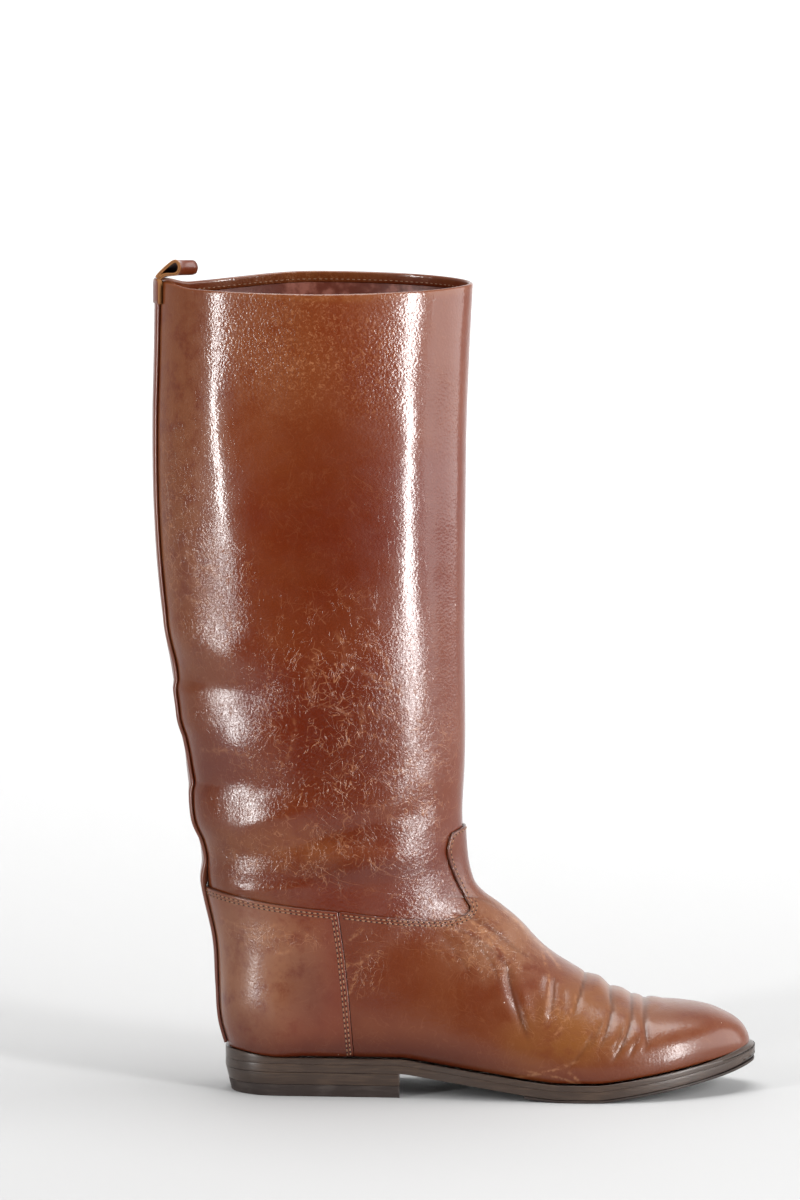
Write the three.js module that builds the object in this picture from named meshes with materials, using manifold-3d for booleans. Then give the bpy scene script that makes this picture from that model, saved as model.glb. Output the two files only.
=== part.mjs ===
// A tall pull-on riding boot for the right foot: a smooth leather shaft over a low stacked heel, with a
// lapped vamp and counter, a narrow strap over the back seam and a folded pull loop at the collar's back.
// Millimetres. +X points to the toe, +Y to the inner side of the foot, +Z up. The origin is on the floor,
// in the middle of the heel's tread. The heel and the ball both stand on the floor.
import * as THREE from 'three';
import { mergeVertices } from 'three/addons/utils/BufferGeometryUtils.js';
import Module from 'manifold-3d';

const wasm = await Module();
wasm.setup();

// The sole and the last
const soleLength = 273;
const heelLength = 86;
const ballWidth = 84;
const heelWidth = 58;
const instepRise = 84;
const heelHeight = 12.7;
const toeSpring = 14.8;
const featherTuck = 7;

// The shaft
const shaftHeight = 420;
const collarLength = 162;
const collarBreadth = 84;

// Thicknesses
const upperWall = 2.3;
const vampThickness = 1.4;
const counterThickness = 1.6;
const strapThickness = 1.6;
const insoleThickness = 3;
const midsoleThickness = 2.9;
const outsoleThickness = 4.3;
const halfSoleThickness = 1.4;
const topPieceThickness = 6.2;
const loopThickness = 1.2;

// Edges, widths and clearances
const seamGap = 0.3;
const ledge = 2.7;
const seatRise = 2.6;
const seatRiseLength = 28;
const heelSideTaper = 1.2;
const heelBackTaper = 3;
const strapWidth = 12;
const loopWidth = 16;
const loopRise = 13;
const loopReach = 14;
const loopStem = 10;
const loopTwist = 9;

// How finely the curved pieces are faceted
const aroundCount = 34;
const alongCount = 37;
const outlineCount = 34;
const profileCount = 18;
const curveCount = 24;
const strapCount = 5;

// Rows of a table, with its columns named once
function table(columns, rows) {
  return rows.map((row) => Object.fromEntries(columns.map((column, i) => [column, row[i]])));
}

// The underside of the outsole, from the heel's breast to the ball and from the ball to the toe. at is a
// share of the sole's length from the heel's back end, lift a share of the heel's height over the ball and
// then of the toe spring.
const ballStart = 0.625;
const ballEnd = 0.7;
const halfSoleStart = 0.56;
const waistLine = table(['at', 'lift'], [
  [0.329, 1],
  [0.38, 0.8],
  [0.432, 0.62],
  [0.48, 0.45],
  [0.527, 0.275],
  [0.575, 0.11],
  [ballStart, 0],
]);
const toeLine = table(['at', 'lift'], [
  [ballEnd, 0],
  [0.768, 0.155],
  [0.816, 0.29],
  [0.864, 0.44],
  [0.912, 0.61],
  [0.952, 0.775],
  [1, 1],
]);

// Sections of the last, from the toe to the collar. Each lies in a plane that holds the Y direction:
// upright in the forefoot, fanned round the ankle and level in the shaft. It runs from its top or front
// point to its base or back point. outer and inner are half widths, swing moves it to the inner side,
// widest is how far along it is widest, and crown and round are the fullness of its front and back, 2 for
// an ellipse.
// Along the foot, top and base are shares of the sole's length, rise is a share of the instep's rise over
// the footbed, and outer, inner and swing are shares of the ball's width.
const footColumns = ['top', 'rise', 'base', 'outer', 'inner', 'swing', 'widest', 'crown', 'round'];
const footTable = table(footColumns, [
  [0.982, 0, 0.982, 0, 0, 0.048, 0.5, 2.2, 2.4],
  [0.978, 0.06, 0.978, 0.089, 0.077, 0.048, 0.55, 2.2, 2.4],
  [0.965, 0.135, 0.965, 0.165, 0.143, 0.048, 0.57, 2.2, 2.5],
  [0.941, 0.205, 0.941, 0.25, 0.214, 0.048, 0.6, 2.25, 2.6],
  [0.904, 0.277, 0.904, 0.34, 0.292, 0.048, 0.62, 2.25, 2.7],
  [0.853, 0.333, 0.853, 0.43, 0.375, 0.048, 0.66, 2.2, 2.8],
  [0.791, 0.383, 0.791, 0.505, 0.432, 0.048, 0.69, 2.1, 2.8],
  [0.725, 0.49, 0.725, 0.55, 0.45, 0.048, 0.72, 2, 2.8],
  [0.663, 0.607, 0.663, 0.557, 0.42, 0.05, 0.75, 1.9, 2.8],
  [0.6, 0.736, 0.6, 0.542, 0.363, 0.053, 0.76, 1.9, 2.8],
  [0.549, 0.846, 0.461, 0.5, 0.315, 0.053, 0.72, 1.9, 2.8],
  [0.51, 0.896, 0.344, 0.45, 0.29, 0.048, 0.64, 2, 2.8],
]);
// Round the ankle, top and back are shares of the sole's length, rise and backRise are shares of the
// instep's rise over the heel seat, and outer, inner and swing are shares of the heel's width.
const ankleColumns = ['top', 'rise', 'back', 'backRise', 'outer', 'inner', 'swing', 'widest', 'crown', 'round'];
const ankleTable = table(ankleColumns, [
  [0.483, 0.956, 0.223, -0.083, 0.6, 0.45, 0.05, 0.56, 2, 2.8],
  [0.4645, 1.024, 0.102, -0.083, 0.57, 0.48, 0.035, 0.52, 2, 2.6],
  [0.4555, 1.101, 0.036, -0.08, 0.555, 0.505, 0.025, 0.5, 2, 2.4],
  [0.45, 1.19, 0.0168, 0, 0.55, 0.52, 0.015, 0.5, 2, 2.3],
  [0.447, 1.286, 0.0048, 0.167, 0.55, 0.535, 0.01, 0.5, 2, 2.3],
  [0.4455, 1.381, -0.007, 0.417, 0.557, 0.547, 0, 0.5, 2, 2.25],
  [0.4445, 1.488, -0.0147, 0.714, 0.57, 0.57, 0, 0.5, 2, 2.2],
  [0.446, 1.607, -0.036, 1.036, 0.59, 0.59, 0, 0.5, 2, 2.1],
]);
// In the shaft, front and back are shares of the collar's length, rise and backRise are shares of the
// shaft's rise over the ankle, and half is a share of the collar's breadth.
const shaftTable = table(['front', 'rise', 'back', 'backRise', 'half', 'crown', 'round'], [
  [0.4716, 0.199, -0.358, 0.082, 0.425, 2, 2],
  [0.474, 0.247, -0.388, 0.149, 0.435, 2, 1.95],
  [0.474, 0.32, -0.408, 0.25, 0.45, 1.95, 1.9],
  [0.472, 0.415, -0.45, 0.373, 0.465, 1.95, 1.9],
  [0.473, 0.519, -0.486, 0.5, 0.48, 1.95, 1.85],
  [0.475, 0.636, -0.503, 0.63, 0.49, 1.95, 1.85],
  [0.478, 0.763, -0.507, 0.763, 0.495, 1.9, 1.8],
  [0.4865, 0.883, -0.502, 0.883, 0.5, 1.9, 1.75],
  [0.498, 1, -0.498, 1, 0.5, 1.85, 1.7],
]);

// Seams as seen from the side. at is a share of the sole's length, rise a share of the instep's rise over
// the heel seat.
const counterTopSeam = table(['at', 'rise'], [
  [0.21, 0.929],
  [0.14, 0.95],
  [0.05, 0.985],
  [-0.1, 1.055],
]);
const counterFrontSeam = table(['at', 'rise'], [
  [0.21, 0.929],
  [0.2205, 0.69],
  [0.23, 0.4],
  [0.2375, 0.12],
  [0.247, -0.24],
]);
const vampTopSeam = table(['at', 'rise'], [
  [0.21, 0.929],
  [0.33, 0.875],
  [0.41, 0.857],
  [0.447, 0.878],
  [0.4605, 0.915],
  [0.453, 0.964],
  [0.432, 1.105],
  [0.4195, 1.225],
  [0.418, 1.29],
  [0.424, 1.36],
  [0.434, 1.385],
  [0.48, 1.42],
]);

// The open space inside the pull loop, as seen from its near edge. out is a share of the loop's reach from
// its outer face, up a share of its rise over the collar. The legs stand a little inside that face, and
// their tops join the fold at a share of the rise.
const loopSpace = table(['out', 'up'], [
  [0.14, 0.31],
  [0.46, 0.68],
  [0.76, 0.88],
  [0.87, 0.84],
  [0.9, 0.7],
  [0.79, 0.55],
  [0.4, 0.47],
]);
const legSlack = 0.3;
const legsTopShare = 0.25;

const mix = (a, b, t) => a + (b - a) * t;
const clamp01 = (t) => Math.min(1, Math.max(0, t));
const ease = (t) => clamp01(t) ** 2 * (3 - 2 * clamp01(t));
const lastOf = (list) => list[list.length - 1];

// A smooth curve through four neighbouring values, between the middle two
function smooth(before, start, end, after, t) {
  const bend = 2 * before - 5 * start + 4 * end - after;
  return start + 0.5 * t * (end - before + t * (bend + t * (3 * (start - end) + after - before)));
}

// Lengthwise places on the sole, and the heights of the layers under the foot
const heelBack = -heelLength / 2 - heelBackTaper;
const alongSole = (share) => heelBack + share * soleLength;
const breast = heelLength / 2;
const toeTip = alongSole(1);

function lineLift(rows, x) {
  const places = rows.map((row) => alongSole(row.at));
  if (x <= places[0]) return rows[0].lift;
  if (x >= lastOf(places)) return lastOf(rows).lift;
  const i = places.findIndex((place) => place > x) - 1;
  const lift = (k) => rows[Math.min(rows.length - 1, Math.max(0, k))].lift;
  const t = (x - places[i]) / (places[i + 1] - places[i]);
  return smooth(lift(i - 1), lift(i), lift(i + 1), lift(i + 2), t);
}

const ballHeight = halfSoleThickness + seamGap;
const soleStack = outsoleThickness + seamGap + midsoleThickness;
const seatHeight = heelHeight + soleStack;
function outsoleUnderside(x) {
  if (x > alongSole(ballStart)) return ballHeight + toeSpring * lineLift(toeLine, x);
  return mix(ballHeight, heelHeight, lineLift(waistLine, x));
}
const outsoleTop = (x) => outsoleUnderside(x) + outsoleThickness;
const midsoleBase = (x) => outsoleTop(x) + seamGap;
const footbed = (x) => midsoleBase(x) + midsoleThickness;
const midsoleTop = (x) => footbed(x) + seatRise * ease((heelBack + seatRiseLength - x) / seatRiseLength);
const upperFoot = (x) => midsoleTop(x) + seamGap;
const halfSoleTop = (x) => outsoleUnderside(x) - seamGap;

// All the sections, in millimetres
const ankleHeight = seatHeight + instepRise;
const shaftRise = shaftHeight - ankleHeight;
const footSections = footTable.map((row) => ({
  ...row,
  topX: alongSole(row.top),
  topZ: footbed(alongSole(row.base)) + row.rise * instepRise,
  baseX: alongSole(row.base),
  baseZ: footbed(alongSole(row.base)) - (row.outer > 0 ? featherTuck : 0),
  outer: row.outer * ballWidth,
  inner: row.inner * ballWidth,
  swing: row.swing * ballWidth,
}));
const ankleSections = ankleTable.map((row) => ({
  ...row,
  topX: alongSole(row.top),
  topZ: seatHeight + row.rise * instepRise,
  baseX: alongSole(row.back),
  baseZ: seatHeight + row.backRise * instepRise,
  outer: row.outer * heelWidth,
  inner: row.inner * heelWidth,
  swing: row.swing * heelWidth,
}));
const shaftSections = shaftTable.map((row) => ({
  ...row,
  topX: row.front * collarLength,
  topZ: ankleHeight + row.rise * shaftRise,
  baseX: row.back * collarLength,
  baseZ: ankleHeight + row.backRise * shaftRise,
  outer: row.half * collarBreadth,
  inner: row.half * collarBreadth,
  swing: 0,
  widest: 0.5,
}));
const sections = [...footSections, ...ankleSections, ...shaftSections];
const collarPlace = sections.length - 1;
const heelPlaces = footSections.length + 5;
const sectionKeys = ['topX', 'topZ', 'baseX', 'baseZ', 'outer', 'inner', 'swing', 'widest', 'crown', 'round'];

// The section at a place between two rows
function sectionAt(place) {
  const i = Math.min(collarPlace - 1, Math.max(0, Math.floor(place)));
  const row = (k) => sections[Math.min(collarPlace, Math.max(0, k))];
  const made = {};
  for (const key of sectionKeys) {
    made[key] = smooth(row(i - 1)[key], row(i)[key], row(i + 1)[key], row(i + 2)[key], place - i);
  }
  return made;
}

// A point of the last. At angle 0 it is the section's top or front, at a quarter turn its outer side and at
// half a turn its base or back.
function lastPoint(angle, place) {
  const s = sectionAt(place);
  const c = Math.cos(angle);
  const n = Math.sin(angle);
  const fullness = c > 0 ? s.crown : s.round;
  const swell = (Math.abs(c) ** fullness + Math.abs(n) ** fullness) ** (-1 / fullness);
  const across = s.widest - swell * c * (c > 0 ? s.widest : 1 - s.widest);
  const side = swell * n * (n > 0 ? s.outer : s.inner);
  return new THREE.Vector3(mix(s.topX, s.baseX, across), s.swing - side, mix(s.topZ, s.baseZ, across));
}

// The same point moved outwards by an offset, square to the last
const angleStep = 0.03;
const placeStep = 0.03;
function offsetPoint(angle, place, offset) {
  const from = Math.max(0, place - placeStep);
  const to = Math.min(collarPlace, place + placeStep);
  const round = lastPoint(angle + angleStep, place).sub(lastPoint(angle - angleStep, place));
  const along = lastPoint(angle, to).sub(lastPoint(angle, from));
  const outward = place > 0 ? along.cross(round).normalize() : new THREE.Vector3(1, 0, 0);
  return lastPoint(angle, place).addScaledVector(outward, offset);
}

// Closed solids from points and triangles, and meshes from solids
function solidOf(geometry) {
  const bare = new THREE.BufferGeometry();
  bare.setAttribute('position', geometry.getAttribute('position'));
  bare.setIndex(geometry.getIndex());
  const merged = mergeVertices(bare, 1e-4);
  return new wasm.Manifold(
    new wasm.Mesh({
      numProp: 3,
      vertProperties: merged.getAttribute('position').array,
      triVerts: new Uint32Array(merged.getIndex().array),
    }),
  );
}

function solidFrom(points, triangles) {
  const geometry = new THREE.BufferGeometry();
  const numbers = points.flatMap((p) => [p.x, p.y, p.z]);
  geometry.setAttribute('position', new THREE.Float32BufferAttribute(numbers, 3));
  geometry.setIndex(triangles);
  return solidOf(geometry);
}

function geometryOf(solid) {
  const mesh = solid.getMesh();
  const positions = new Float32Array(mesh.numVert * 3);
  for (let i = 0; i < mesh.numVert; i++) {
    const start = i * mesh.numProp;
    positions.set(mesh.vertProperties.subarray(start, start + 3), i * 3);
  }
  const geometry = new THREE.BufferGeometry();
  geometry.setAttribute('position', new THREE.BufferAttribute(positions, 3));
  geometry.setIndex(new THREE.BufferAttribute(mesh.triVerts, 1));
  geometry.computeVertexNormals();
  return geometry;
}

// Rings of points round one offset of the last, from the toe to the collar, and the toe's own point
function lastRings(offset) {
  const rings = [];
  for (let i = 1; i <= alongCount; i++) {
    const place = (collarPlace * i) / alongCount;
    const ring = [];
    for (let j = 0; j < aroundCount; j++) {
      ring.push(offsetPoint((-2 * Math.PI * j) / aroundCount, place, offset));
    }
    rings.push(ring);
  }
  return { toe: offsetPoint(0, 0, offset), rings };
}

// Triangles of the skin over rings that all have the same count of points
function skinTriangles(first, ringCount, count) {
  const triangles = [];
  for (let i = 0; i < ringCount - 1; i++) {
    for (let j = 0; j < count; j++) {
      const a = first + i * count + j;
      const b = first + i * count + ((j + 1) % count);
      triangles.push(a, b, b + count, a, b + count, a + count);
    }
  }
  return triangles;
}

// The whole space inside one offset of the last, closed across the collar, or lifted past it by a margin
function lastCore(offset, margin = 0) {
  const { toe, rings } = lastRings(offset);
  if (margin > 0) rings.push(lastOf(rings).map((p) => new THREE.Vector3(p.x, p.y, p.z + margin)));
  const rim = lastOf(rings);
  const middle = new THREE.Vector3();
  rim.forEach((p) => middle.addScaledVector(p, 1 / rim.length));
  const points = [toe, ...rings.flat(), middle];
  const triangles = skinTriangles(1, rings.length, aroundCount);
  const rimStart = 1 + (rings.length - 1) * aroundCount;
  for (let j = 0; j < aroundCount; j++) {
    const next = (j + 1) % aroundCount;
    triangles.push(0, 1 + next, 1 + j);
    triangles.push(rimStart + j, rimStart + next, points.length - 1);
  }
  return solidFrom(points, triangles);
}

// The skin between two offsets of the last, open at the collar and cut off at the sole
const reach = soleLength;
function lastShell(outerOffset, innerOffset) {
  return lastCore(outerOffset).subtract(lastCore(innerOffset, reach)).subtract(under(upperFoot));
}

// A side outline, in X and Z, carried across the whole width
function sidePrism(outline) {
  const geometry = new THREE.ExtrudeGeometry(new THREE.Shape(outline), {
    depth: 2 * reach,
    bevelEnabled: false,
  });
  geometry.rotateX(Math.PI / 2);
  geometry.translate(0, reach, 0);
  return solidOf(geometry);
}

// A plan outline, in X and Y, carried up between two heights
function planPrism(outline, low, high) {
  const geometry = new THREE.ExtrudeGeometry(new THREE.Shape(outline), {
    depth: high - low,
    bevelEnabled: false,
  });
  geometry.translate(0, 0, low);
  return solidOf(geometry);
}

// Everything under a height curve
function under(heightAt) {
  const outline = [new THREE.Vector2(heelBack - reach, -reach), new THREE.Vector2(toeTip + reach, -reach)];
  outline.push(new THREE.Vector2(toeTip + reach, heightAt(toeTip)));
  const shares = new Set([ballStart, ballEnd]);
  for (let i = 0; i <= profileCount; i++) shares.add(i / profileCount);
  for (const share of [...shares].sort((a, b) => b - a)) {
    outline.push(new THREE.Vector2(alongSole(share), heightAt(alongSole(share))));
  }
  outline.push(new THREE.Vector2(heelBack - reach, heightAt(heelBack)));
  return sidePrism(outline);
}

// The feather line, where the outside of the panels meets the sole, from the toe to the heel on one side
const panelOffset = seamGap + counterThickness;
function heightOverSole(angle, place) {
  const p = offsetPoint(angle, place, panelOffset);
  return p.z - upperFoot(p.x);
}

// Where a falling or rising value crosses nothing, by halving
function crossing(valueAt, low, high) {
  const startsAbove = valueAt(low) > 0;
  for (let i = 0; i < 30; i++) {
    const middle = (low + high) / 2;
    if (valueAt(middle) > 0 === startsAbove) low = middle;
    else high = middle;
  }
  return (low + high) / 2;
}

const featherSamples = 120;
function featherLine(side) {
  const toePlace = crossing((place) => heightOverSole(0, place), placeStep, 2);
  const heelPlace = crossing((place) => heightOverSole(Math.PI, place), footSections.length, heelPlaces);
  const points = [];
  for (let i = 0; i <= featherSamples; i++) {
    const place = mix(toePlace, heelPlace, i / featherSamples);
    let angle = crossing((a) => heightOverSole(side * a, place), 0, Math.PI);
    if (i === 0) angle = 0;
    if (i === featherSamples) angle = Math.PI;
    const p = offsetPoint(side * angle, place, panelOffset);
    points.push(new THREE.Vector2(p.x, p.y));
  }
  return points;
}

// A line of points spread evenly along another
function respaced(points, count) {
  const travelled = [0];
  for (let i = 1; i < points.length; i++) {
    travelled.push(travelled[i - 1] + points[i].distanceTo(points[i - 1]));
  }
  const spread = [];
  for (let k = 0; k < count; k++) {
    const target = (lastOf(travelled) * k) / (count - 1);
    const found = travelled.findIndex((distance) => distance >= target - 1e-6);
    const i = Math.max(1, found);
    const t = (target - travelled[i - 1]) / (travelled[i] - travelled[i - 1]);
    spread.push(points[i - 1].clone().lerp(points[i], t));
  }
  return spread;
}

// A closed outline, counterclockwise, moved out by a distance
function grown(outline, distance) {
  return outline.map((p, i) => {
    const before = outline[(i + outline.length - 1) % outline.length];
    const after = outline[(i + 1) % outline.length];
    const along = after.clone().sub(before).normalize();
    return new THREE.Vector2(p.x + along.y * distance, p.y - along.x * distance);
  });
}

const outerFeather = respaced(featherLine(1), outlineCount);
const innerFeather = respaced(featherLine(-1), outlineCount);
const feather = [...innerFeather, ...outerFeather.slice(1, -1).reverse()];
const soleOutline = grown(feather, ledge);

// A layer of the sole between two height curves
function soleLayer(outline, lowAt, highAt) {
  return planPrism(outline, -reach, reach).intersect(under(highAt)).subtract(under(lowAt));
}

// The part of an outline behind a place along the sole, or before it
function cutOutline(outline, place, keepsBack) {
  const kept = [];
  outline.forEach((p, i) => {
    const next = outline[(i + 1) % outline.length];
    if (p.x < place === keepsBack) kept.push(p);
    const meets = (place - p.x) / (next.x - p.x);
    if (p.x < place !== next.x < place) kept.push(p.clone().lerp(next, meets));
  });
  return kept;
}

function halfSoleSolid() {
  const outline = cutOutline(grown(soleOutline, -seamGap), alongSole(halfSoleStart), false);
  return soleLayer(outline, (x) => halfSoleTop(x) - halfSoleThickness, halfSoleTop);
}

function insoleSolid() {
  const inside = lastCore(-upperWall - seamGap);
  return inside.intersect(under((x) => upperFoot(x) + insoleThickness)).subtract(under(upperFoot));
}

// The heel narrows to the floor, most at its back
const heelOutline = cutOutline(soleOutline, breast, true);
function heelRing(height) {
  const depth = (heelHeight - height) / heelHeight;
  return heelOutline.map((p) => {
    const forward = (heelBackTaper * depth * (breast - p.x)) / (breast - heelBack);
    const narrowing = 1 - (depth * heelSideTaper) / (heelWidth / 2);
    return new THREE.Vector3(p.x + forward, p.y * narrowing, height);
  });
}
function heelLift(low, high) {
  const rings = [heelRing(low), heelRing(high)];
  const count = heelOutline.length;
  const triangles = skinTriangles(0, 2, count);
  for (const [a, b, c] of THREE.ShapeUtils.triangulateShape(heelOutline, [])) {
    triangles.push(a, c, b, a + count, b + count, c + count);
  }
  return solidFrom(rings.flat(), triangles);
}

// Points of a seam, in X and Z, on a smooth curve
function seamPoints(rows) {
  const places = rows.map((row) => {
    return new THREE.Vector2(alongSole(row.at), seatHeight + row.rise * instepRise);
  });
  return new THREE.SplineCurve(places).getPoints(curveCount);
}

// A panel is the skin of the last inside a side outline
function panelSolid(outline, thickness) {
  return lastShell(seamGap + thickness, seamGap).intersect(sidePrism(outline));
}

function counterSolid() {
  const outline = seamPoints(counterTopSeam);
  const front = seamPoints(counterFrontSeam);
  outline.push(new THREE.Vector2(lastOf(outline).x, lastOf(front).y));
  return panelSolid([...outline, ...front.slice(1).reverse()], counterThickness);
}

function vampSolid() {
  const top = seamPoints(vampTopSeam);
  const back = seamPoints(counterFrontSeam);
  const right = new THREE.Vector2(toeTip + reach, lastOf(top).y);
  const low = new THREE.Vector2(toeTip + reach, lastOf(back).y);
  const outline = [low, right, ...top.reverse(), ...back.slice(1)];
  return panelSolid(outline.map((p) => new THREE.Vector2(p.x + seamGap, p.y)), vampThickness);
}

// A place on the back of the last at a distance to the inner side of its middle line
function backPoint(place, sideways, offset) {
  const angle = Math.PI + crossing((a) => offsetPoint(Math.PI + a, place, offset).y - sideways, -1, 1);
  return offsetPoint(angle, place, offset);
}

// The place whose section has its back at a height
function placeAtBack(height) {
  return crossing((place) => lastPoint(Math.PI, place).z - height, footSections.length, collarPlace);
}

// The strap lies on the shaft and steps over the counter at its top seam. It starts below the feather line,
// and both are counted in sections.
const strapStep = 0.5;
const strapTuck = 3;
function strapSolid() {
  const stepPlace = placeAtBack(seatHeight + lastOf(counterTopSeam).rise * instepRise);
  const topPlace = placeAtBack(shaftHeight - loopStem - seamGap);
  const ringPlaces = Array.from({ length: alongCount }, (_, i) => (collarPlace * (i + 1)) / alongCount);
  const places = ringPlaces.filter((place) => place > heelPlaces - strapTuck && place < topPlace);
  const rows = [...places, topPlace].reverse().map((place) => {
    const overCounter = ease((stepPlace - place) / strapStep + 1);
    const lift = seamGap + overCounter * (seamGap + counterThickness);
    const outer = [];
    const inner = [];
    for (let j = 0; j < strapCount; j++) {
      const sideways = strapWidth * (j / (strapCount - 1) - 0.5);
      outer.push(backPoint(place, sideways, lift + strapThickness));
      inner.unshift(backPoint(place, sideways, lift));
    }
    return [...outer, ...inner];
  });
  const count = 2 * strapCount;
  const triangles = skinTriangles(0, rows.length, count);
  const end = (rows.length - 1) * count;
  for (let j = 0; j < strapCount - 1; j++) {
    const quad = [j, j + 1, count - 2 - j, count - 1 - j];
    triangles.push(quad[0], quad[2], quad[1], quad[0], quad[3], quad[2]);
    triangles.push(end + quad[0], end + quad[1], end + quad[2]);
    triangles.push(end + quad[0], end + quad[2], end + quad[3]);
  }
  return solidFrom(rows.flat(), triangles).subtract(under(upperFoot));
}

// The loop is one band: two legs sewn to the back of the collar, and a fold that leans over it and twists
function pullLoopSolid() {
  const spaceRows = loopSpace.map((row) => new THREE.Vector3(row.out * loopReach, row.up * loopRise, 0));
  const curve = new THREE.CatmullRomCurve3(spaceRows.reverse(), true).getPoints(curveCount);
  const space = curve.slice(1).map((p) => new THREE.Vector2(p.x, p.y));
  const fold = new THREE.Shape(grown(space, loopThickness));
  fold.holes.push(new THREE.Path(space));
  const legsInside = loopThickness * (2 + legSlack);
  const legsTop = loopRise * legsTopShare;
  const legs = new THREE.Shape([
    new THREE.Vector2(loopThickness * legSlack, -loopStem),
    new THREE.Vector2(legsInside, -loopStem),
    new THREE.Vector2(legsInside, seamGap),
    new THREE.Vector2(legsInside, legsTop),
    new THREE.Vector2(loopThickness * legSlack, legsTop),
    new THREE.Vector2(loopThickness * legSlack, seamGap),
  ]);
  const legsPlace = placeAtBack(shaftHeight - loopStem);
  const collarBack = backPoint(legsPlace, 0, 0).x;
  const [foldSolid, legsSolid] = [fold, legs].map((shape) => {
    const geometry = new THREE.ExtrudeGeometry(shape, {
      depth: loopWidth,
      steps: strapCount - 1,
      bevelEnabled: false,
    });
    geometry.rotateX(Math.PI / 2);
    geometry.translate(collarBack - seamGap - legsInside, loopWidth / 2, shaftHeight);
    const position = geometry.getAttribute('position');
    for (let i = 0; i < position.count; i++) {
      const y = position.getY(i);
      const height = position.getZ(i) - shaftHeight - seamGap;
      const twist = loopTwist * (y / loopWidth + 0.5) * ease((2 * height) / loopRise);
      position.setX(i, position.getX(i) + backPoint(legsPlace, y, 0).x - collarBack + twist);
    }
    return solidOf(geometry);
  });
  return foldSolid.add(legsSolid);
}

const group = new THREE.Group();
function add(name, solid, color, roughness) {
  const material = new THREE.MeshStandardMaterial({ color, roughness, metalness: 0 });
  const mesh = new THREE.Mesh(geometryOf(solid), material);
  mesh.name = name;
  group.add(mesh);
}

add('upper', lastShell(0, -upperWall), '#6b2a13', 0.32);
add('vamp', vampSolid(), '#6f2e18', 0.3);
add('counter', counterSolid(), '#703a23', 0.32);
add('back_strap', strapSolid(), '#5f2c1b', 0.35);
add('pull_loop', pullLoopSolid(), '#663e21', 0.4);
add('insole', insoleSolid(), '#8a5a3a', 0.7);
add('midsole', soleLayer(soleOutline, midsoleBase, midsoleTop), '#54463b', 0.5);
add('outsole', soleLayer(soleOutline, outsoleUnderside, outsoleTop), '#4a3d33', 0.5);
add('half_sole', halfSoleSolid(), '#26241f', 0.8);
add('heel_stack', heelLift(topPieceThickness + seamGap, heelHeight - seamGap), '#42332a', 0.5);
add('heel_top_piece', heelLift(0, topPieceThickness), '#3d332f', 0.7);

export default group;
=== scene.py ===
import math

import bmesh
import bpy
import numpy as np
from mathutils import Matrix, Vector


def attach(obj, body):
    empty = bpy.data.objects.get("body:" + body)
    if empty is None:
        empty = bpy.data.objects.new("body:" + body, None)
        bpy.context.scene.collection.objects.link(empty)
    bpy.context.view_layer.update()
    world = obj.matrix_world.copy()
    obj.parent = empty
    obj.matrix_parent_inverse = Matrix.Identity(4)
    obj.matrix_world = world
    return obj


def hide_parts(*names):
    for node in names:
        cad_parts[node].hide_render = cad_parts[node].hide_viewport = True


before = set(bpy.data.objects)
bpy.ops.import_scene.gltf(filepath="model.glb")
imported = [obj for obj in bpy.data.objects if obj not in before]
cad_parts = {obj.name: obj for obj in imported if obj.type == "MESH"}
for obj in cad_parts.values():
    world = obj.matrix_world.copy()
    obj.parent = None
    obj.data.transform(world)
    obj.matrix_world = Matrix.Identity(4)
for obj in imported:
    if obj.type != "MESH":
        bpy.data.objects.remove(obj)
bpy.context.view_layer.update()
scene = bpy.context.scene

# The last and the sole, in the sizes of the solids
last = {
    "soleLength": 273,
    "heelBack": -46,
    "ballWidth": 84,
    "heelWidth": 58,
    "instepRise": 84,
    "featherTuck": 7,
    "shaftHeight": 420,
    "collarLength": 162,
    "collarBreadth": 84,
}
soleHeights = {
    "heel": 12.7,
    "ball": 1.7,
    "toeSpring": 14.8,
    "outsole": 4.3,
    "midsole": 2.9,
    "gap": 0.3,
    "seatRise": 2.6,
    "seatLength": 28,
}
waistLine = [(0.329, 1), (0.38, 0.8), (0.432, 0.62), (0.48, 0.45), (0.527, 0.275), (0.575, 0.11), (0.625, 0)]
toeLine = [(0.7, 0), (0.768, 0.155), (0.816, 0.29), (0.864, 0.44), (0.912, 0.61), (0.952, 0.775), (1, 1)]

# top, rise, base, outer, inner, swing, widest, crown, round
footRows = [
    (0.982, 0, 0.982, 0, 0, 0.048, 0.5, 2.2, 2.4),
    (0.978, 0.06, 0.978, 0.089, 0.077, 0.048, 0.55, 2.2, 2.4),
    (0.965, 0.135, 0.965, 0.165, 0.143, 0.048, 0.57, 2.2, 2.5),
    (0.941, 0.205, 0.941, 0.25, 0.214, 0.048, 0.6, 2.25, 2.6),
    (0.904, 0.277, 0.904, 0.34, 0.292, 0.048, 0.62, 2.25, 2.7),
    (0.853, 0.333, 0.853, 0.43, 0.375, 0.048, 0.66, 2.2, 2.8),
    (0.791, 0.383, 0.791, 0.505, 0.432, 0.048, 0.69, 2.1, 2.8),
    (0.725, 0.49, 0.725, 0.55, 0.45, 0.048, 0.72, 2, 2.8),
    (0.663, 0.607, 0.663, 0.557, 0.42, 0.05, 0.75, 1.9, 2.8),
    (0.6, 0.736, 0.6, 0.542, 0.363, 0.053, 0.76, 1.9, 2.8),
    (0.549, 0.846, 0.461, 0.5, 0.315, 0.053, 0.72, 1.9, 2.8),
    (0.51, 0.896, 0.344, 0.45, 0.29, 0.048, 0.64, 2, 2.8),
]
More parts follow.
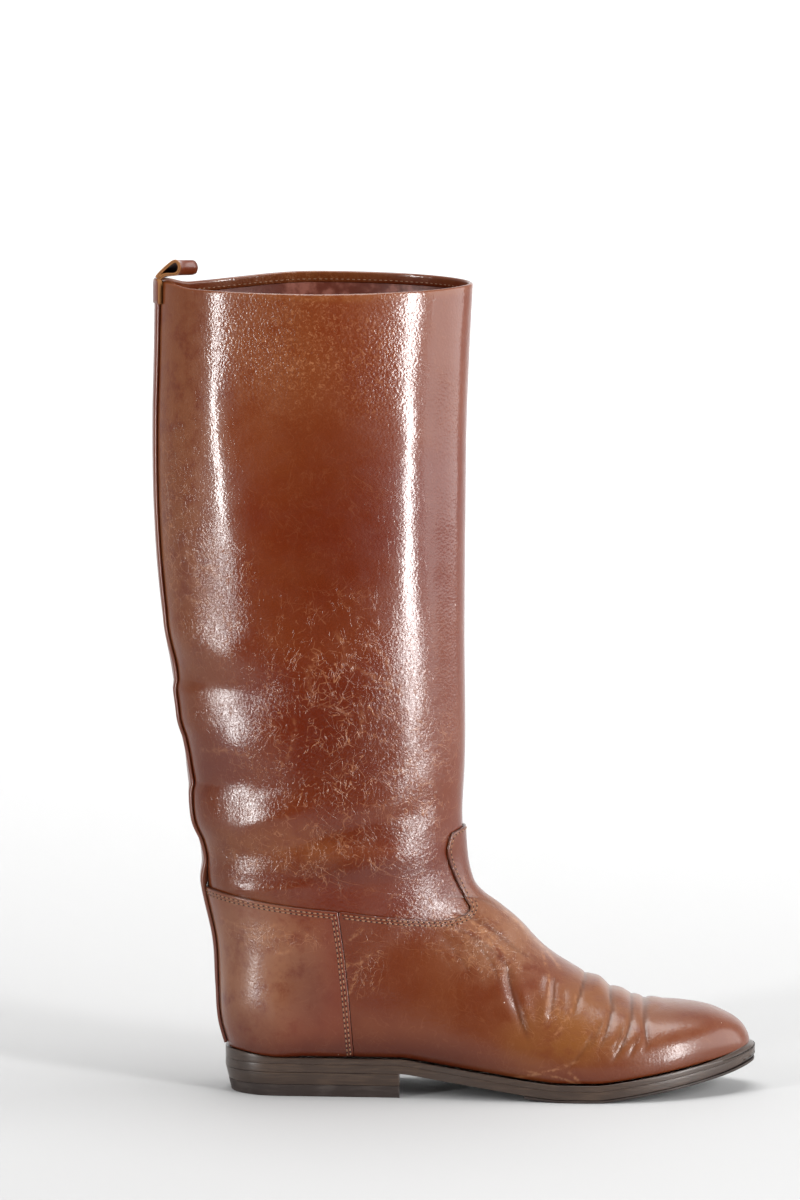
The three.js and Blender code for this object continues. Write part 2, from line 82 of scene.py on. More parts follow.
# top, rise, back, backRise, outer, inner, swing, widest, crown, round
ankleRows = [
    (0.483, 0.956, 0.223, -0.083, 0.6, 0.45, 0.05, 0.56, 2, 2.8),
    (0.4645, 1.024, 0.102, -0.083, 0.57, 0.48, 0.035, 0.52, 2, 2.6),
    (0.4555, 1.101, 0.036, -0.08, 0.555, 0.505, 0.025, 0.5, 2, 2.4),
    (0.45, 1.19, 0.0168, 0, 0.55, 0.52, 0.015, 0.5, 2, 2.3),
    (0.447, 1.286, 0.0048, 0.167, 0.55, 0.535, 0.01, 0.5, 2, 2.3),
    (0.4455, 1.381, -0.007, 0.417, 0.557, 0.547, 0, 0.5, 2, 2.25),
    (0.4445, 1.488, -0.0147, 0.714, 0.57, 0.57, 0, 0.5, 2, 2.2),
    (0.446, 1.607, -0.036, 1.036, 0.59, 0.59, 0, 0.5, 2, 2.1),
]
# front, rise, back, backRise, half, crown, round
shaftRows = [
    (0.4716, 0.199, -0.358, 0.082, 0.425, 2, 2),
    (0.474, 0.247, -0.388, 0.149, 0.435, 2, 1.95),
    (0.474, 0.32, -0.408, 0.25, 0.45, 1.95, 1.9),
    (0.472, 0.415, -0.45, 0.373, 0.465, 1.95, 1.9),
    (0.473, 0.519, -0.486, 0.5, 0.48, 1.95, 1.85),
    (0.475, 0.636, -0.503, 0.63, 0.49, 1.95, 1.85),
    (0.478, 0.763, -0.507, 0.763, 0.495, 1.9, 1.8),
    (0.4865, 0.883, -0.502, 0.883, 0.5, 1.9, 1.75),
    (0.498, 1, -0.498, 1, 0.5, 1.85, 1.7),
]


def alongSole(share):
    return last["heelBack"] + np.asarray(share, float) * last["soleLength"]


def ease(t):
    t = np.clip(t, 0, 1)
    return t * t * (3 - 2 * t)


def between(before, start, end, after, t):
    bend = 2 * before - 5 * start + 4 * end - after
    return start + 0.5 * t * (end - before + t * (bend + t * (3 * (start - end) + after - before)))


def smoothRows(values, place):
    values = np.asarray(values, float)
    top = len(values) - 1
    i = np.clip(np.floor(place).astype(int), 0, top - 1)
    t = place - i
    if values.ndim > 1:
        t = t[:, None]
    row = lambda k: values[np.clip(k, 0, top)]
    return between(row(i - 1), row(i), row(i + 1), row(i + 2), t)


def lineLift(rows, x):
    rows = np.array(rows)
    places = alongSole(rows[:, 0])
    return smoothRows(rows[:, 1], np.interp(x, places, np.arange(len(rows))))


def outsoleUnderside(x):
    x = np.asarray(x, float)
    waist = soleHeights["ball"] + (soleHeights["heel"] - soleHeights["ball"]) * lineLift(waistLine, x)
    toe = soleHeights["ball"] + soleHeights["toeSpring"] * lineLift(toeLine, x)
    return np.where(x > alongSole(0.625), toe, waist)


def outsoleTop(x):
    return outsoleUnderside(x) + soleHeights["outsole"]


def midsoleBase(x):
    return outsoleTop(x) + soleHeights["gap"]


def footbed(x):
    return midsoleBase(x) + soleHeights["midsole"]


def midsoleTop(x):
    rise = ease((last["heelBack"] + soleHeights["seatLength"] - x) / soleHeights["seatLength"])
    return footbed(x) + soleHeights["seatRise"] * rise


def upperFoot(x):
    return midsoleTop(x) + soleHeights["gap"]


seatHeight = float(footbed(last["heelBack"]))
ankleHeight = seatHeight + last["instepRise"]
shaftRise = last["shaftHeight"] - ankleHeight


# One row per section: topX, topZ, baseX, baseZ, outer, inner, swing, widest, crown, round
def allSections():
    rows = []
    for top, rise, base, outer, inner, swing, widest, crown, fullness in footRows:
        bed = float(footbed(alongSole(base)))
        width = last["ballWidth"]
        tuck = last["featherTuck"] if outer > 0 else 0
        rows.append((alongSole(top), bed + rise * last["instepRise"], alongSole(base), bed - tuck,
                     outer * width, inner * width, swing * width, widest, crown, fullness))
    for top, rise, back, backRise, outer, inner, swing, widest, crown, fullness in ankleRows:
        width = last["heelWidth"]
        rows.append((alongSole(top), seatHeight + rise * last["instepRise"],
                     alongSole(back), seatHeight + backRise * last["instepRise"],
                     outer * width, inner * width, swing * width, widest, crown, fullness))
    for front, rise, back, backRise, half, crown, fullness in shaftRows:
        width = half * last["collarBreadth"]
        rows.append((front * last["collarLength"], ankleHeight + rise * shaftRise,
                     back * last["collarLength"], ankleHeight + backRise * shaftRise,
                     width, width, 0, 0.5, crown, fullness))
    return np.array(rows, float)


sections = allSections()
collarPlace = len(sections) - 1


def lastPoint(place, angle):
    s = smoothRows(sections, place)
    c, n = np.cos(angle), np.sin(angle)
    fullness = np.where(c > 0, s[:, 8], s[:, 9])
    swell = (np.abs(c) ** fullness + np.abs(n) ** fullness) ** (-1 / fullness)
    across = s[:, 7] - swell * c * np.where(c > 0, s[:, 7], 1 - s[:, 7])
    side = swell * n * np.where(n > 0, s[:, 4], s[:, 5])
    return np.column_stack([
        s[:, 0] + (s[:, 2] - s[:, 0]) * across,
        s[:, 6] - side,
        s[:, 1] + (s[:, 3] - s[:, 1]) * across,
    ])


def lastNormal(place, angle, step=0.03):
    low = np.clip(place - step, 0, collarPlace)
    high = np.clip(place + step, 0, collarPlace)
    along = lastPoint(high, angle) - lastPoint(low, angle)
    around = lastPoint(place, angle + step) - lastPoint(place, angle - step)
    outward = np.cross(along, around)
    length = np.linalg.norm(outward, axis=1, keepdims=True)
    outward = outward / np.maximum(length, 1e-9)
    outward[place < 1e-6] = (1, 0, 0)
    return outward


# Distance in the side view from points to a line of points
def lineDistance(x, z, line):
    line = np.asarray(line, float)
    best = np.full(x.shape, 1e9)
    share = np.zeros(x.shape)
    for k in range(len(line) - 1):
        a, b = line[k], line[k + 1]
        d = b - a
        t = np.clip(((x - a[0]) * d[0] + (z - a[1]) * d[1]) / max(float(d @ d), 1e-9), 0, 1)
        away = np.hypot(x - a[0] - t * d[0], z - a[1] - t * d[1])
        near = away < best
        best = np.where(near, away, best)
        share = np.where(near, (k + t) / (len(line) - 1), share)
    return best, share


def curveThrough(points, count=12):
    points = np.asarray(points, float)
    at = np.linspace(0, len(points) - 1, (len(points) - 1) * count + 1)
    return smoothRows(points, at)


def insideOutline(x, z, outline):
    inside = np.zeros(x.shape, bool)
    for (x1, z1), (x2, z2) in zip(outline, np.roll(outline, -1, axis=0)):
        if z1 == z2:
            continue
        crosses = (z1 > z) != (z2 > z)
        inside ^= crosses & (x < (x2 - x1) * (z - z1) / (z2 - z1) + x1)
    return inside


# Creases, rolls and folds: the side (o outer, i inner, b both), the form (sharp ones meet in
# a cusp), the depth (negative for a trough), the half width and the line in the side view
creases = [
    # Flex creases across the vamp, the sharp one behind the toe last, and the rolls between them
    ("b", "sharp", -0.8, 1.1, [(139, 64), (138, 58), (135, 51), (132, 40)]),
    ("b", "sharp", -1.1, 1.2, [(152, 57), (151, 51), (152, 44), (148, 32), (144, 26)]),
    ("b", "sharp", -0.9, 1.0, [(162, 52), (162, 44), (161, 36), (155, 25), (151, 20)]),
    ("b", "sharp", -1.3, 1.2, [(169, 51), (169, 45), (169, 38), (170, 30), (168, 24)]),
    ("b", "soft", 1.5, 4.2, [(146, 62), (145, 56), (144, 50)]),
    ("b", "soft", 0.6, 3.0, [(157, 55), (157, 50), (156, 46)]),
    ("b", "soft", 1.2, 4.2, [(174, 52), (175, 47), (176, 42)]),
    ("o", "sharp", -0.4, 0.8, [(158, 38), (155, 30), (152, 25)]),
    ("o", "sharp", -0.4, 0.8, [(166, 33), (163, 27), (160, 22)]),
    ("o", "sharp", -0.35, 0.8, [(143, 36), (137, 26), (128, 16)]),
    ("o", "sharp", -0.4, 0.9, [(70, 96), (86, 88), (104, 74), (118, 66)]),
    ("o", "sharp", -0.4, 0.9, [(64, 90), (84, 80), (98, 68), (104, 56)]),
    ("o", "sharp", -0.35, 0.8, [(78, 84), (90, 70), (96, 54)]),
    ("o", "sharp", -0.3, 0.8, [(66, 82), (76, 70), (80, 60)]),
    ("o", "sharp", -0.3, 0.9, [(66, 104), (82, 100), (96, 92)]),
    ("o", "sharp", -0.35, 1.2, [(147, 40), (143, 32), (139, 26)]),
    # Folds that run down the side from the instep
    ("o", "sharp", -1.1, 2.2, [(98, 68), (100, 58), (106, 40), (110, 30)]),
    ("o", "soft", 0.5, 4.0, [(94, 66), (95, 56), (100, 42)]),
    ("o", "soft", 0.6, 3.2, [(104, 58), (108, 46), (112, 36)]),
    ("o", "soft", 0.8, 2.6, [(119, 62), (118, 54), (117, 44), (116, 38)]),
    ("o", "sharp", -0.6, 1.8, [(122, 60), (122, 52), (120, 42)]),
    ("o", "soft", -0.35, 1.6, [(127, 56), (127, 48), (126, 40)]),
    ("i", "sharp", -0.8, 2.4, [(100, 62), (108, 44), (114, 36)]),
    ("i", "sharp", -0.6, 2.2, [(118, 58), (120, 48), (121, 40)]),
    # The throat, where the instep bends
    ("b", "soft", -0.6, 3.0, [(76, 98), (84, 86), (96, 76), (106, 70)]),
    ("b", "soft", 0.5, 4.0, [(84, 95), (92, 86), (102, 79)]),
    ("o", "soft", 0.45, 4.0, [(66, 88), (78, 82), (92, 74)]),
    ("o", "soft", -0.4, 3.0, [(62, 84), (76, 77), (92, 68)]),
    # Soft folds low in the back of the shaft, where it gives
    ("o", "soft", 1.2, 9, [(-78, 246), (-64, 238), (-50, 235), (-38, 238), (-28, 252)]),
    ("o", "soft", -1.4, 8.5, [(-78, 224), (-60, 217), (-44, 212), (-24, 214), (-10, 222)]),
    ("o", "soft", 1.4, 11, [(-78, 191), (-60, 187), (-40, 186), (-18, 191), (-4, 199)]),
    ("o", "soft", 2.0, 12, [(-70, 214), (-70, 200), (-68, 184)]),
    ("o", "soft", -1.4, 8.5, [(-72, 158), (-50, 161), (-26, 163), (-4, 163)]),
    ("o", "soft", 1.7, 8.5, [(-64, 136), (-44, 139), (-24, 144), (-4, 154), (14, 162)]),
    ("o", "soft", 1.9, 12, [(-64, 160), (-62, 147), (-56, 132)]),
    ("o", "soft", 0.9, 12, [(-26, 160), (-24, 150), (-22, 140)]),
    ("o", "soft", -0.9, 6, [(-60, 120), (-40, 125), (-18, 129), (6, 134)]),
    ("o", "soft", 0.7, 3.0, [(-50, 109), (-30, 107.5), (-12, 110), (4, 112)]),
    ("o", "soft", -0.8, 5.5, [(-14, 131), (4, 138), (22, 143), (46, 147), (62, 154)]),
    ("o", "soft", 0.7, 6, [(10, 118), (34, 124), (58, 130)]),
    ("i", "soft", 0.8, 10, [(-76, 238), (-50, 228), (-20, 232)]),
    ("i", "soft", -1.0, 9, [(-74, 206), (-50, 200), (-16, 204)]),
    ("i", "soft", 1.0, 9, [(-68, 172), (-44, 168), (-12, 176)]),
    ("i", "soft", -0.9, 7, [(-62, 146), (-40, 142), (-8, 148)]),
    ("i", "soft", 0.8, 6, [(-58, 124), (-36, 122), (-4, 128)]),
    # The dent over the calf and the long soft waves of the shaft
    ("o", "soft", 1.1, 15, [(-50, 430), (-52, 390), (-52, 350), (-50, 325)]),
    ("o", "soft", 0.5, 11, [(-32, 335), (-30, 300), (-26, 262)]),
    ("o", "soft", 0.8, 11, [(-48, 345), (-45, 310), (-43, 280), (-40, 262), (-38, 250)]),
    ("o", "soft", 3.3, 19, [(-48, 44), (-26, 43), (-4, 41)]),
    ("o", "soft", 0.5, 12, [(42, 400), (48, 350), (46, 300), (50, 250)]),
    ("o", "soft", -0.4, 12, [(-20, 400), (-24, 360), (-18, 330)]),
    ("o", "soft", 0.5, 8, [(52, 205), (46, 190), (52, 175)]),
    ("o", "soft", -0.5, 7, [(60, 160), (50, 150), (56, 138)]),
]


# Scratches and cracks that show paler than the leather, on the outer side
scratches = [
    [(99, 13), (112, 15), (125, 18), (135, 22)],
    [(108, 17), (123, 14), (137, 10)],
    [(130, 16), (134, 13), (136, 10)],
    [(80, 89), (87, 82), (93, 74)],
    [(92, 96), (108, 81), (125, 63)],
    [(115, 73), (119, 59), (118, 44)],
    [(56, 89), (71, 86), (82, 80)],
    [(60, 94), (74, 92), (88, 84), (98, 72)],
    [(122, 34), (128, 40), (134, 52)],
    [(-48, 92), (-32, 88), (-16, 92)],
    [(-41, 81), (-21, 76), (-12, 78)],
    [(-44, 86), (-30, 84), (-14, 85)],
    [(17, 83), (20, 86), (24, 89)],
    [(16, 53), (19, 60), (22, 69)],
    [(12, 72), (20, 70), (28, 76)],
    [(10, 245), (16, 235), (15, 229)],
    [(18, 227), (34, 219), (44, 211)],
    [(22, 213), (24, 199), (23, 190)],
    [(-2, 207), (10, 205), (18, 201)],
    [(-11, 199), (-12, 185), (-17, 176)],
    [(35, 170), (45, 173), (53, 182)],
    [(-58, 180), (-46, 181), (-34, 179)],
    [(2, 236), (-4, 222), (-2, 214)],
    [(28, 238), (36, 230), (38, 218)],
    [(-66, 284), (-58, 276), (-48, 272)],
    [(-70, 262), (-60, 258), (-50, 262)],
]


# A crease comes in softly at its first end and runs out at its last
def creaseFade(share):
    return ease((1 - share) * 2.5) * ease(0.35 + share * 3)


# How far every layer of leather moves out (or in) at points of the last
def relief(points):
    x, y, z = points.T
    moved = np.zeros(len(x))
    reach = {"o": ease((3 - y) / 8), "i": ease((y + 3) / 8), "b": 1}
    for side, form, depth, width, line in creases:
        away, share = lineDistance(x, z, curveThrough(line, 4))
        shape = np.exp(-((away / width) ** (1.2 if form == "sharp" else 2)))
        moved += depth * shape * creaseFade(share) * reach[side]
    return moved


# The inner back quarter of the rim sags a little
def sag(points):
    x, y, z = points.T
    top = ease((z - 350) / 70)
    return top * (1.6 * ease((-64 - x) / 14) - 2.4 * ease((-4 - x) / 56) * ease((y - 6) / 14))


def leatherPoint(place, angle, offset, lift=0):
    base = lastPoint(place, angle)
    out = lastNormal(place, angle)
    moved = base + out * (offset + relief(base))[:, None]
    moved[:, 2] += lift + sag(base)
    return moved


# Seams in the side view
seamRise = last["instepRise"]


def seam(rows):
    return curveThrough([(float(alongSole(at)), seatHeight + rise * seamRise) for at, rise in rows])


counterTop = seam([(0.21, 0.929), (0.14, 0.95), (0.05, 0.985), (-0.1, 1.055)])
counterFront = seam([(0.21, 0.929), (0.2205, 0.69), (0.23, 0.4), (0.2375, 0.12), (0.247, -0.24)])
vampTop = seam([
    (0.21, 0.929), (0.33, 0.875), (0.41, 0.857), (0.447, 0.878), (0.4605, 0.915), (0.453, 0.964),
    (0.432, 1.105), (0.4195, 1.225), (0.418, 1.29), (0.424, 1.36), (0.434, 1.385), (0.48, 1.42),
])


# Rows of the last spread evenly, by the mean of eight lines along it
def spreadPlaces(first, end, spacing):
    fine = np.linspace(first, end, 900)
    total = np.zeros(899)
    for angle in np.linspace(-math.pi, math.pi, 8, endpoint=False):
        line = lastPoint(fine, np.full(900, angle))
        total += np.linalg.norm(np.diff(line, axis=0), axis=1) / 8
    travelled = np.concatenate([[0], np.cumsum(total)])
    count = int(travelled[-1] / spacing) + 2
    return np.interp(np.linspace(0, travelled[-1], count), travelled, fine)


def gridOf(places, angles):
    place, angle = np.meshgrid(places, angles, indexing="ij")
    rows, columns = place.shape
    index = np.arange(rows * columns).reshape(rows, columns)
    a, b = index[:-1, :-1].ravel(), index[:-1, 1:].ravel()
    c, d = index[1:, 1:].ravel(), index[1:, :-1].ravel()
    triangles = np.concatenate([np.column_stack([a, c, b]), np.column_stack([a, d, c])])
    return place.ravel(), angle.ravel(), triangles


# Cuts triangles along a level of a value, so that a row of corners lies on it
def splitAt(columns, value, triangles, level):
    above = value > level
    count = above[triangles].sum(axis=1)
    whole = triangles[(count == 0) | (count == 3)]
    mixed = triangles[(count == 1) | (count == 2)]
    if not len(mixed):
        return columns, value, triangles, np.zeros((0, 2), int)
    flags = above[mixed]
    lone = np.where(flags.sum(axis=1) == 1, flags.argmax(axis=1), (~flags).argmax(axis=1))
    a, b, c = np.take_along_axis(mixed, (lone[:, None] + np.arange(3)) % 3, axis=1).T
    pairs = np.sort(np.concatenate([np.column_stack([a, b]), np.column_stack([a, c])]), axis=1)
    edges, where = np.unique(pairs, axis=0, return_inverse=True)
    where = where.ravel() + len(value)
    t = (level - value[edges[:, 0]]) / (value[edges[:, 1]] - value[edges[:, 0]])
    columns = [np.concatenate([v, v[edges[:, 0]] + t * (v[edges[:, 1]] - v[edges[:, 0]])]) for v in columns]
    value = np.concatenate([value, np.full(len(edges), float(level))])
    ab, ac = where[: len(a)], where[len(a):]
    tip, near, far = [np.column_stack(corners) for corners in ([a, ab, ac], [ab, b, c], [ab, c, ac])]
    made = np.concatenate([tip, near, far])
    return columns, value, np.concatenate([whole, made]), np.column_stack([ab, ac])


# Lines of corners joined end to end
def chains(links):
    joined = {}
    for a, b in links.tolist():
        joined.setdefault(a, []).append(b)
        joined.setdefault(b, []).append(a)
    lines = []
    starts = [k for k, v in joined.items() if len(v) == 1] + list(joined)
    used = set()
    for start in starts:
        if start in used:
            continue
        line, here = [start], start
        used.add(start)
        while True:
            onward = [k for k in joined[here] if k not in used]
            if not onward:
                break
            here = onward[0]
            used.add(here)
            line.append(here)
        if len(line) > 5:
            lines.append(line)
    return lines


def dropUnused(columns, triangles):
    used, triangles = np.unique(triangles, return_inverse=True)
    return [v[used] for v in columns], triangles.reshape(-1, 3)


# Edges that only one triangle uses, in its own direction
def openEdges(triangles):
    directed = np.concatenate([triangles[:, [0, 1]], triangles[:, [1, 2]], triangles[:, [2, 0]]])
    edges, first, count = np.unique(np.sort(directed, axis=1), axis=0, return_index=True, return_counts=True)
    return directed[first[count == 1]]


# A sheet's outer face, its under face some count of corners on, and the walls between them
def closedSheet(triangles, count):
    rim = openEdges(triangles)
    walls = np.concatenate([
        np.column_stack([rim[:, 1], rim[:, 0], rim[:, 0] + count]),
        np.column_stack([rim[:, 1], rim[:, 0] + count, rim[:, 1] + count]),
    ])
    return np.concatenate([triangles, triangles[:, ::-1] + count, walls])


def addMesh(name, points, faces, materials, faceMaterial=None, marks=None):
    mesh = bpy.data.meshes.new(name)
    if isinstance(faces, np.ndarray):
        faces = faces.tolist()
    mesh.from_pydata((np.asarray(points) / 1000).tolist(), [], faces)
    for material in materials:
        mesh.materials.append(material)
    if faceMaterial is not None:
        mesh.polygons.foreach_set("material_index", np.asarray(faceMaterial, dtype=np.int32))
    mesh.polygons.foreach_set("use_smooth", np.full(len(mesh.polygons), True))
    for label, values in (marks or {}).items():
        mark = mesh.attributes.new(label, "FLOAT", "POINT")
        mark.data.foreach_set("value", np.asarray(values, dtype=np.float32))
    mesh.update()
    piece = bpy.data.objects.new(name, mesh)
    scene.collection.objects.link(piece)
    return piece


def edited(piece, change):
    mesh = bmesh.new()
    mesh.from_mesh(piece.data)
    change(mesh)
    mesh.to_mesh(piece.data)
    mesh.free()
    return piece


# Joins corners closer than 0.04 mm and drops the slivers that the cuts leave
def weld(piece):
    def join(mesh):
        bmesh.ops.remove_doubles(mesh, verts=mesh.verts, dist=0.00004)
        bmesh.ops.dissolve_degenerate(mesh, edges=mesh.edges, dist=1e-6)

    return edited(piece, join)


def facePointsOut(piece):
    return edited(piece, lambda mesh: bmesh.ops.recalc_face_normals(mesh, faces=mesh.faces))


def dress(piece, node, slotName):
    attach(piece, "root")
    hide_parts(node)


# Where the leather is worn, crazed, dull or browner, and where shade and sheen are painted into its colour,
# as soft patches in the side view: middle, half length, half height and strength
patches = {
    "worn": [(133, 37, 24, 20, 1.0), (112, 32, 20, 16, 0.55), (150, 34, 16, 14, 0.5)],
    "crazed": [
        (8, 190, 66, 86, 1.0), (-52, 260, 26, 50, 0.9), (50, 165, 26, 70, 0.9), (92, 78, 34, 22, 0.8),
        (118, 45, 22, 20, 0.5), (-30, 120, 40, 16, 0.9), (-44, 200, 30, 18, 0.5), (-38, 152, 34, 12, 0.4),
        (-76, 300, 16, 70, 0.9), (-4, 126, 60, 24, 0.85), (-22, 84, 36, 10, 0.9), (24, 72, 14, 26, 0.9),
        (60, 100, 30, 30, 0.9), (150, 34, 20, 16, 0.5),
    ],
    "dull": [(-47, 226, 26, 9, 1.0), (-36, 171, 26, 9, 1.0), (-34, 135, 30, 7, 1.0), (10, 120, 60, 12, 0.6)],
    # a browner tone on the shaft and the vamp; the patch on the instep is painted sheen, lighter where light
    # falls
    "brown_and_sheen": [
        (-72, 330, 34, 160, 0.9), (-30, 70, 40, 46, 1.0), (-20, 130, 50, 16, 0.8), (150, 45, 60, 26, 0.7),
        (96, 82, 36, 26, 1.0), (-30, 390, 50, 50, 0.5), (0, 420, 120, 5, 0.9),
    ],
    # painted shade: darker low on the vamp and counter by the sole, and down the middle of the shaft
    "dark": [
        (30, 20, 80, 15, 1.0), (-24, 22, 34, 8, 0.6), (12, 300, 40, 90, 0.6), (16, 190, 36, 60, 0.6),
        (20, 119, 44, 9, 0.7), (-6, 60, 14, 22, 0.5), (22, 140, 34, 9, 0.5),
    ],
    "pebbled": [(-12, 395, 46, 40, 1.0), (26, 385, 26, 40, 0.7)],
}


def markOf(points, kind):
    x, _, z = points.T
    value = np.zeros(len(x))
    for px, pz, rx, rz, strength in patches[kind]:
        away = np.hypot((x - px) / rx, (z - pz) / rz)
        value = np.maximum(value, strength * ease(1.25 - away))
    return value


def leatherMarks(points):
    marks = {kind: markOf(points, kind) for kind in patches}
    x, y, z = points.T
    onSide = {"o": y < 0, "i": y > 0, "b": True}
    # Painted shade: a thin dark line down the trough of every sharp crease
    fold = np.zeros(len(x))
    for side, form, depth, _, line in creases:
        if form == "sharp":
            away, share = lineDistance(x, z, curveThrough(line, 4))
            fade = creaseFade(share) * onSide[side]
            fold = np.maximum(fold, np.exp(-((away / 0.8) ** 2)) * fade * min(1, -depth * 1.2))
    # The shaft's mesh is coarser, so its scratches are wider and fainter there
    onShaft = z > 100
    pale, width = np.zeros(len(x)), np.where(onShaft, 0.95, 0.6)
    for line in scratches:
        away, share = lineDistance(x, z, curveThrough(line, 6))
        strength = (y < 0) * (0.5 + 0.5 * np.sin(math.pi * share)) * np.where(onShaft, 0.6, 1)
        pale = np.maximum(pale, np.exp(-((away / width) ** 2)) * strength)
    marks["fold"], marks["scratch"] = fold, pale
    return marks


# Material helpers
def hexColour(code):
    channels = [int(code[i:i + 2], 16) / 255 for i in (1, 3, 5)]
    return tuple(c / 12.92 if c <= 0.04045 else ((c + 0.055) / 1.055) ** 2.4 for c in channels) + (1,)


def addNode(tree, kind, inputs=None, **settings):
    node = tree.nodes.new(kind)
    for key, value in settings.items():
        setattr(node, key, value)
    for key, value in (inputs or {}).items():
        socket = node.inputs[key]
        if isinstance(value, bpy.types.NodeSocket):
            tree.links.new(value, socket)
        else:
            socket.default_value = value
    return node


def newMaterial(name):
    material = bpy.data.materials.new(name)
    material.use_nodes = True
    return material, material.node_tree, material.node_tree.nodes["Principled BSDF"]


def smoothShare(tree, value, low, high, start=0.0, end=1.0):
    inputs = {"Value": value, "From Min": low, "From Max": high, "To Min": start, "To Max": end}
    return addNode(tree, "ShaderNodeMapRange", inputs, interpolation_type="SMOOTHSTEP").outputs["Result"]


def mixColours(tree, share, a, b):
    node = addNode(tree, "ShaderNodeMix", {"Factor": share}, data_type="RGBA")
    for key, value in ((6, a), (7, b)):
        if isinstance(value, str):
            node.inputs[key].default_value = hexColour(value)
        else:
            tree.links.new(value, node.inputs[key])
    return node.outputs[2]


def plainMaterial(name, code, roughness):
    material, _, shader = newMaterial(name)
    shader.inputs["Base Color"].default_value = hexColour(code)
    shader.inputs["Roughness"].default_value = roughness
    shader.inputs["IOR"].default_value = 1.5
    return material


# Aniline-dyed calf, waxed and brushed: deep see-through colour under a clear gloss that breaks up over fine
# cracks, paler where the dye is rubbed off
def waxedCalf(name, look):
    material, tree, shader = newMaterial(name)
    place = addNode(tree, "ShaderNodeTexCoord").outputs["Object"]

    def mark(label):
        return addNode(tree, "ShaderNodeAttribute", attribute_name=label).outputs["Fac"]

    def noise(scale, detail=3, roughness=0.55, distortion=0.0, vector=place):
        inputs = {"Scale": scale, "Detail": detail, "Roughness": roughness, "Distortion": distortion}
        return addNode(tree, "ShaderNodeTexNoise", {**inputs, "Vector": vector}).outputs["Fac"]

    def cells(scale, feature="F1", vector=place):
        inputs = {"Scale": scale, "Vector": vector, "Randomness": 1.0}
        return addNode(tree, "ShaderNodeTexVoronoi", inputs, feature=feature).outputs["Distance"]

    def ramp(value, low, high, start=0.0, end=1.0):
        return smoothShare(tree, value, low, high, start, end)

    def sums(kind, a, b):
        return addNode(tree, "ShaderNodeMath", {0: a, 1: b}, operation=kind, use_clamp=True).outputs[0]

    def over(colour, code, *shares):
        share = shares[0]
        for other in shares[1:]:
            share = sums("MULTIPLY", share, other)
        return mixColours(tree, share, colour, code)

    def bumped(height, distance, strength, under=None):
        inputs = {"Height": height, "Distance": distance, "Strength": strength}
        if under is not None:
            inputs["Normal"] = under
        return addNode(tree, "ShaderNodeBump", inputs).outputs[0]

    # Coordinates that wander by up to 2.5 mm, so that no crack runs straight
    half, reach = (0.5, 0.5, 0.5), (0.005, 0.005, 0.005)
    wander = addNode(tree, "ShaderNodeTexNoise", {"Scale": 70.0, "Detail": 2.0, "Vector": place})
    wander = {0: wander.outputs["Color"], 1: half}
    wander = addNode(tree, "ShaderNodeVectorMath", wander, operation="SUBTRACT").outputs[0]
    warped = addNode(tree, "ShaderNodeVectorMath", {0: wander, 1: reach, 2: place}, operation="MULTIPLY_ADD")
    warped = warped.outputs[0]

    # Hairlines where a stretched noise crosses its middle value, kept to patches by a broader noise
    def hairlines(turn, scale, width, cover, stretch):
        inputs = {"Vector": warped, "Rotation": (0.0, math.radians(turn), 0.3), "Scale": (1.0, 1.0, stretch)}
        turned = addNode(tree, "ShaderNodeMapping", inputs, vector_type="TEXTURE").outputs[0]
        middle = {0: noise(scale, 2, 0.55, 0.25, turned), 1: 0.5}
        away = addNode(tree, "ShaderNodeMath", middle, operation="SUBTRACT").outputs[0]
        away = addNode(tree, "ShaderNodeMath", {0: away}, operation="ABSOLUTE").outputs[0]
        line = ramp(away, 0.0, width, 1.0, 0.0)
        return sums("MULTIPLY", line, ramp(noise(scale * 0.6 + turn, 3), cover, cover + 0.1))

    crazed, worn, dull, brown_and_sheen, dark, edge, pebbled, fold, scratch = [mark(label) for label in (
        "crazed", "worn", "dull", "brown_and_sheen", "dark", "edge", "pebbled", "fold", "scratch")]
    pebbles = cells(800.0, "SMOOTH_F1")
    creasing = noise(520, 3, 0.6, 1.2)
    clouds = noise(14, 4)  # blotches of dye some 70 mm across
    mottle = noise(110, 4, 0.65)  # about 9 mm
    net = ramp(cells(170.0, "DISTANCE_TO_EDGE", warped), 0.0, 0.05, 0.6, 0.0)
    lines = sums("MULTIPLY", net, ramp(noise(120, 3), 0.5, 0.6))
    # turn in degrees, scale, width, cover and stretch: four long sets, then four short ones
    for hairline in (
        (24, 75, 0.006, 0.52, 8.0), (-40, 85, 0.006, 0.52, 8.0), (76, 80, 0.006, 0.52, 8.0),
        (-74, 90, 0.006, 0.53, 8.0), (50, 170, 0.009, 0.5, 5.0), (-12, 190, 0.01, 0.5, 5.0),
        (4, 220, 0.011, 0.5, 5.0), (-58, 180, 0.01, 0.5, 5.0),
    ):
        lines = sums("MAXIMUM", lines, hairlines(*hairline))
    lines = sums("MULTIPLY", lines, sums("MAXIMUM", crazed, 0.14))
    dust = ramp(cells(62.0), 0.012, 0.024, 1.0, 0.0)  # specks of 0.4 mm
    specks = sums("MULTIPLY", dust, ramp(noise(40, 1), 0.5, 0.56))

    colour = mixColours(tree, ramp(clouds, 0.35, 0.68), look["deep"], look["middle"])
    # browner tone, and painted sheen on the instep
    colour = over(colour, look["brown_and_sheen"], brown_and_sheen, ramp(mottle, 0.2, 0.6))
    # painted shade
    colour = over(colour, look["dark"], dark, 0.75)
    colour = over(colour, look["worn"], worn, ramp(mottle, 0.15, 0.62))
    colour = over(colour, look["crack"], pebbled, ramp(creasing, 0.5, 0.7), 0.4)
    colour = over(colour, look["crack"], lines, 0.5)
    colour = over(colour, look["edge"], edge, 0.7)
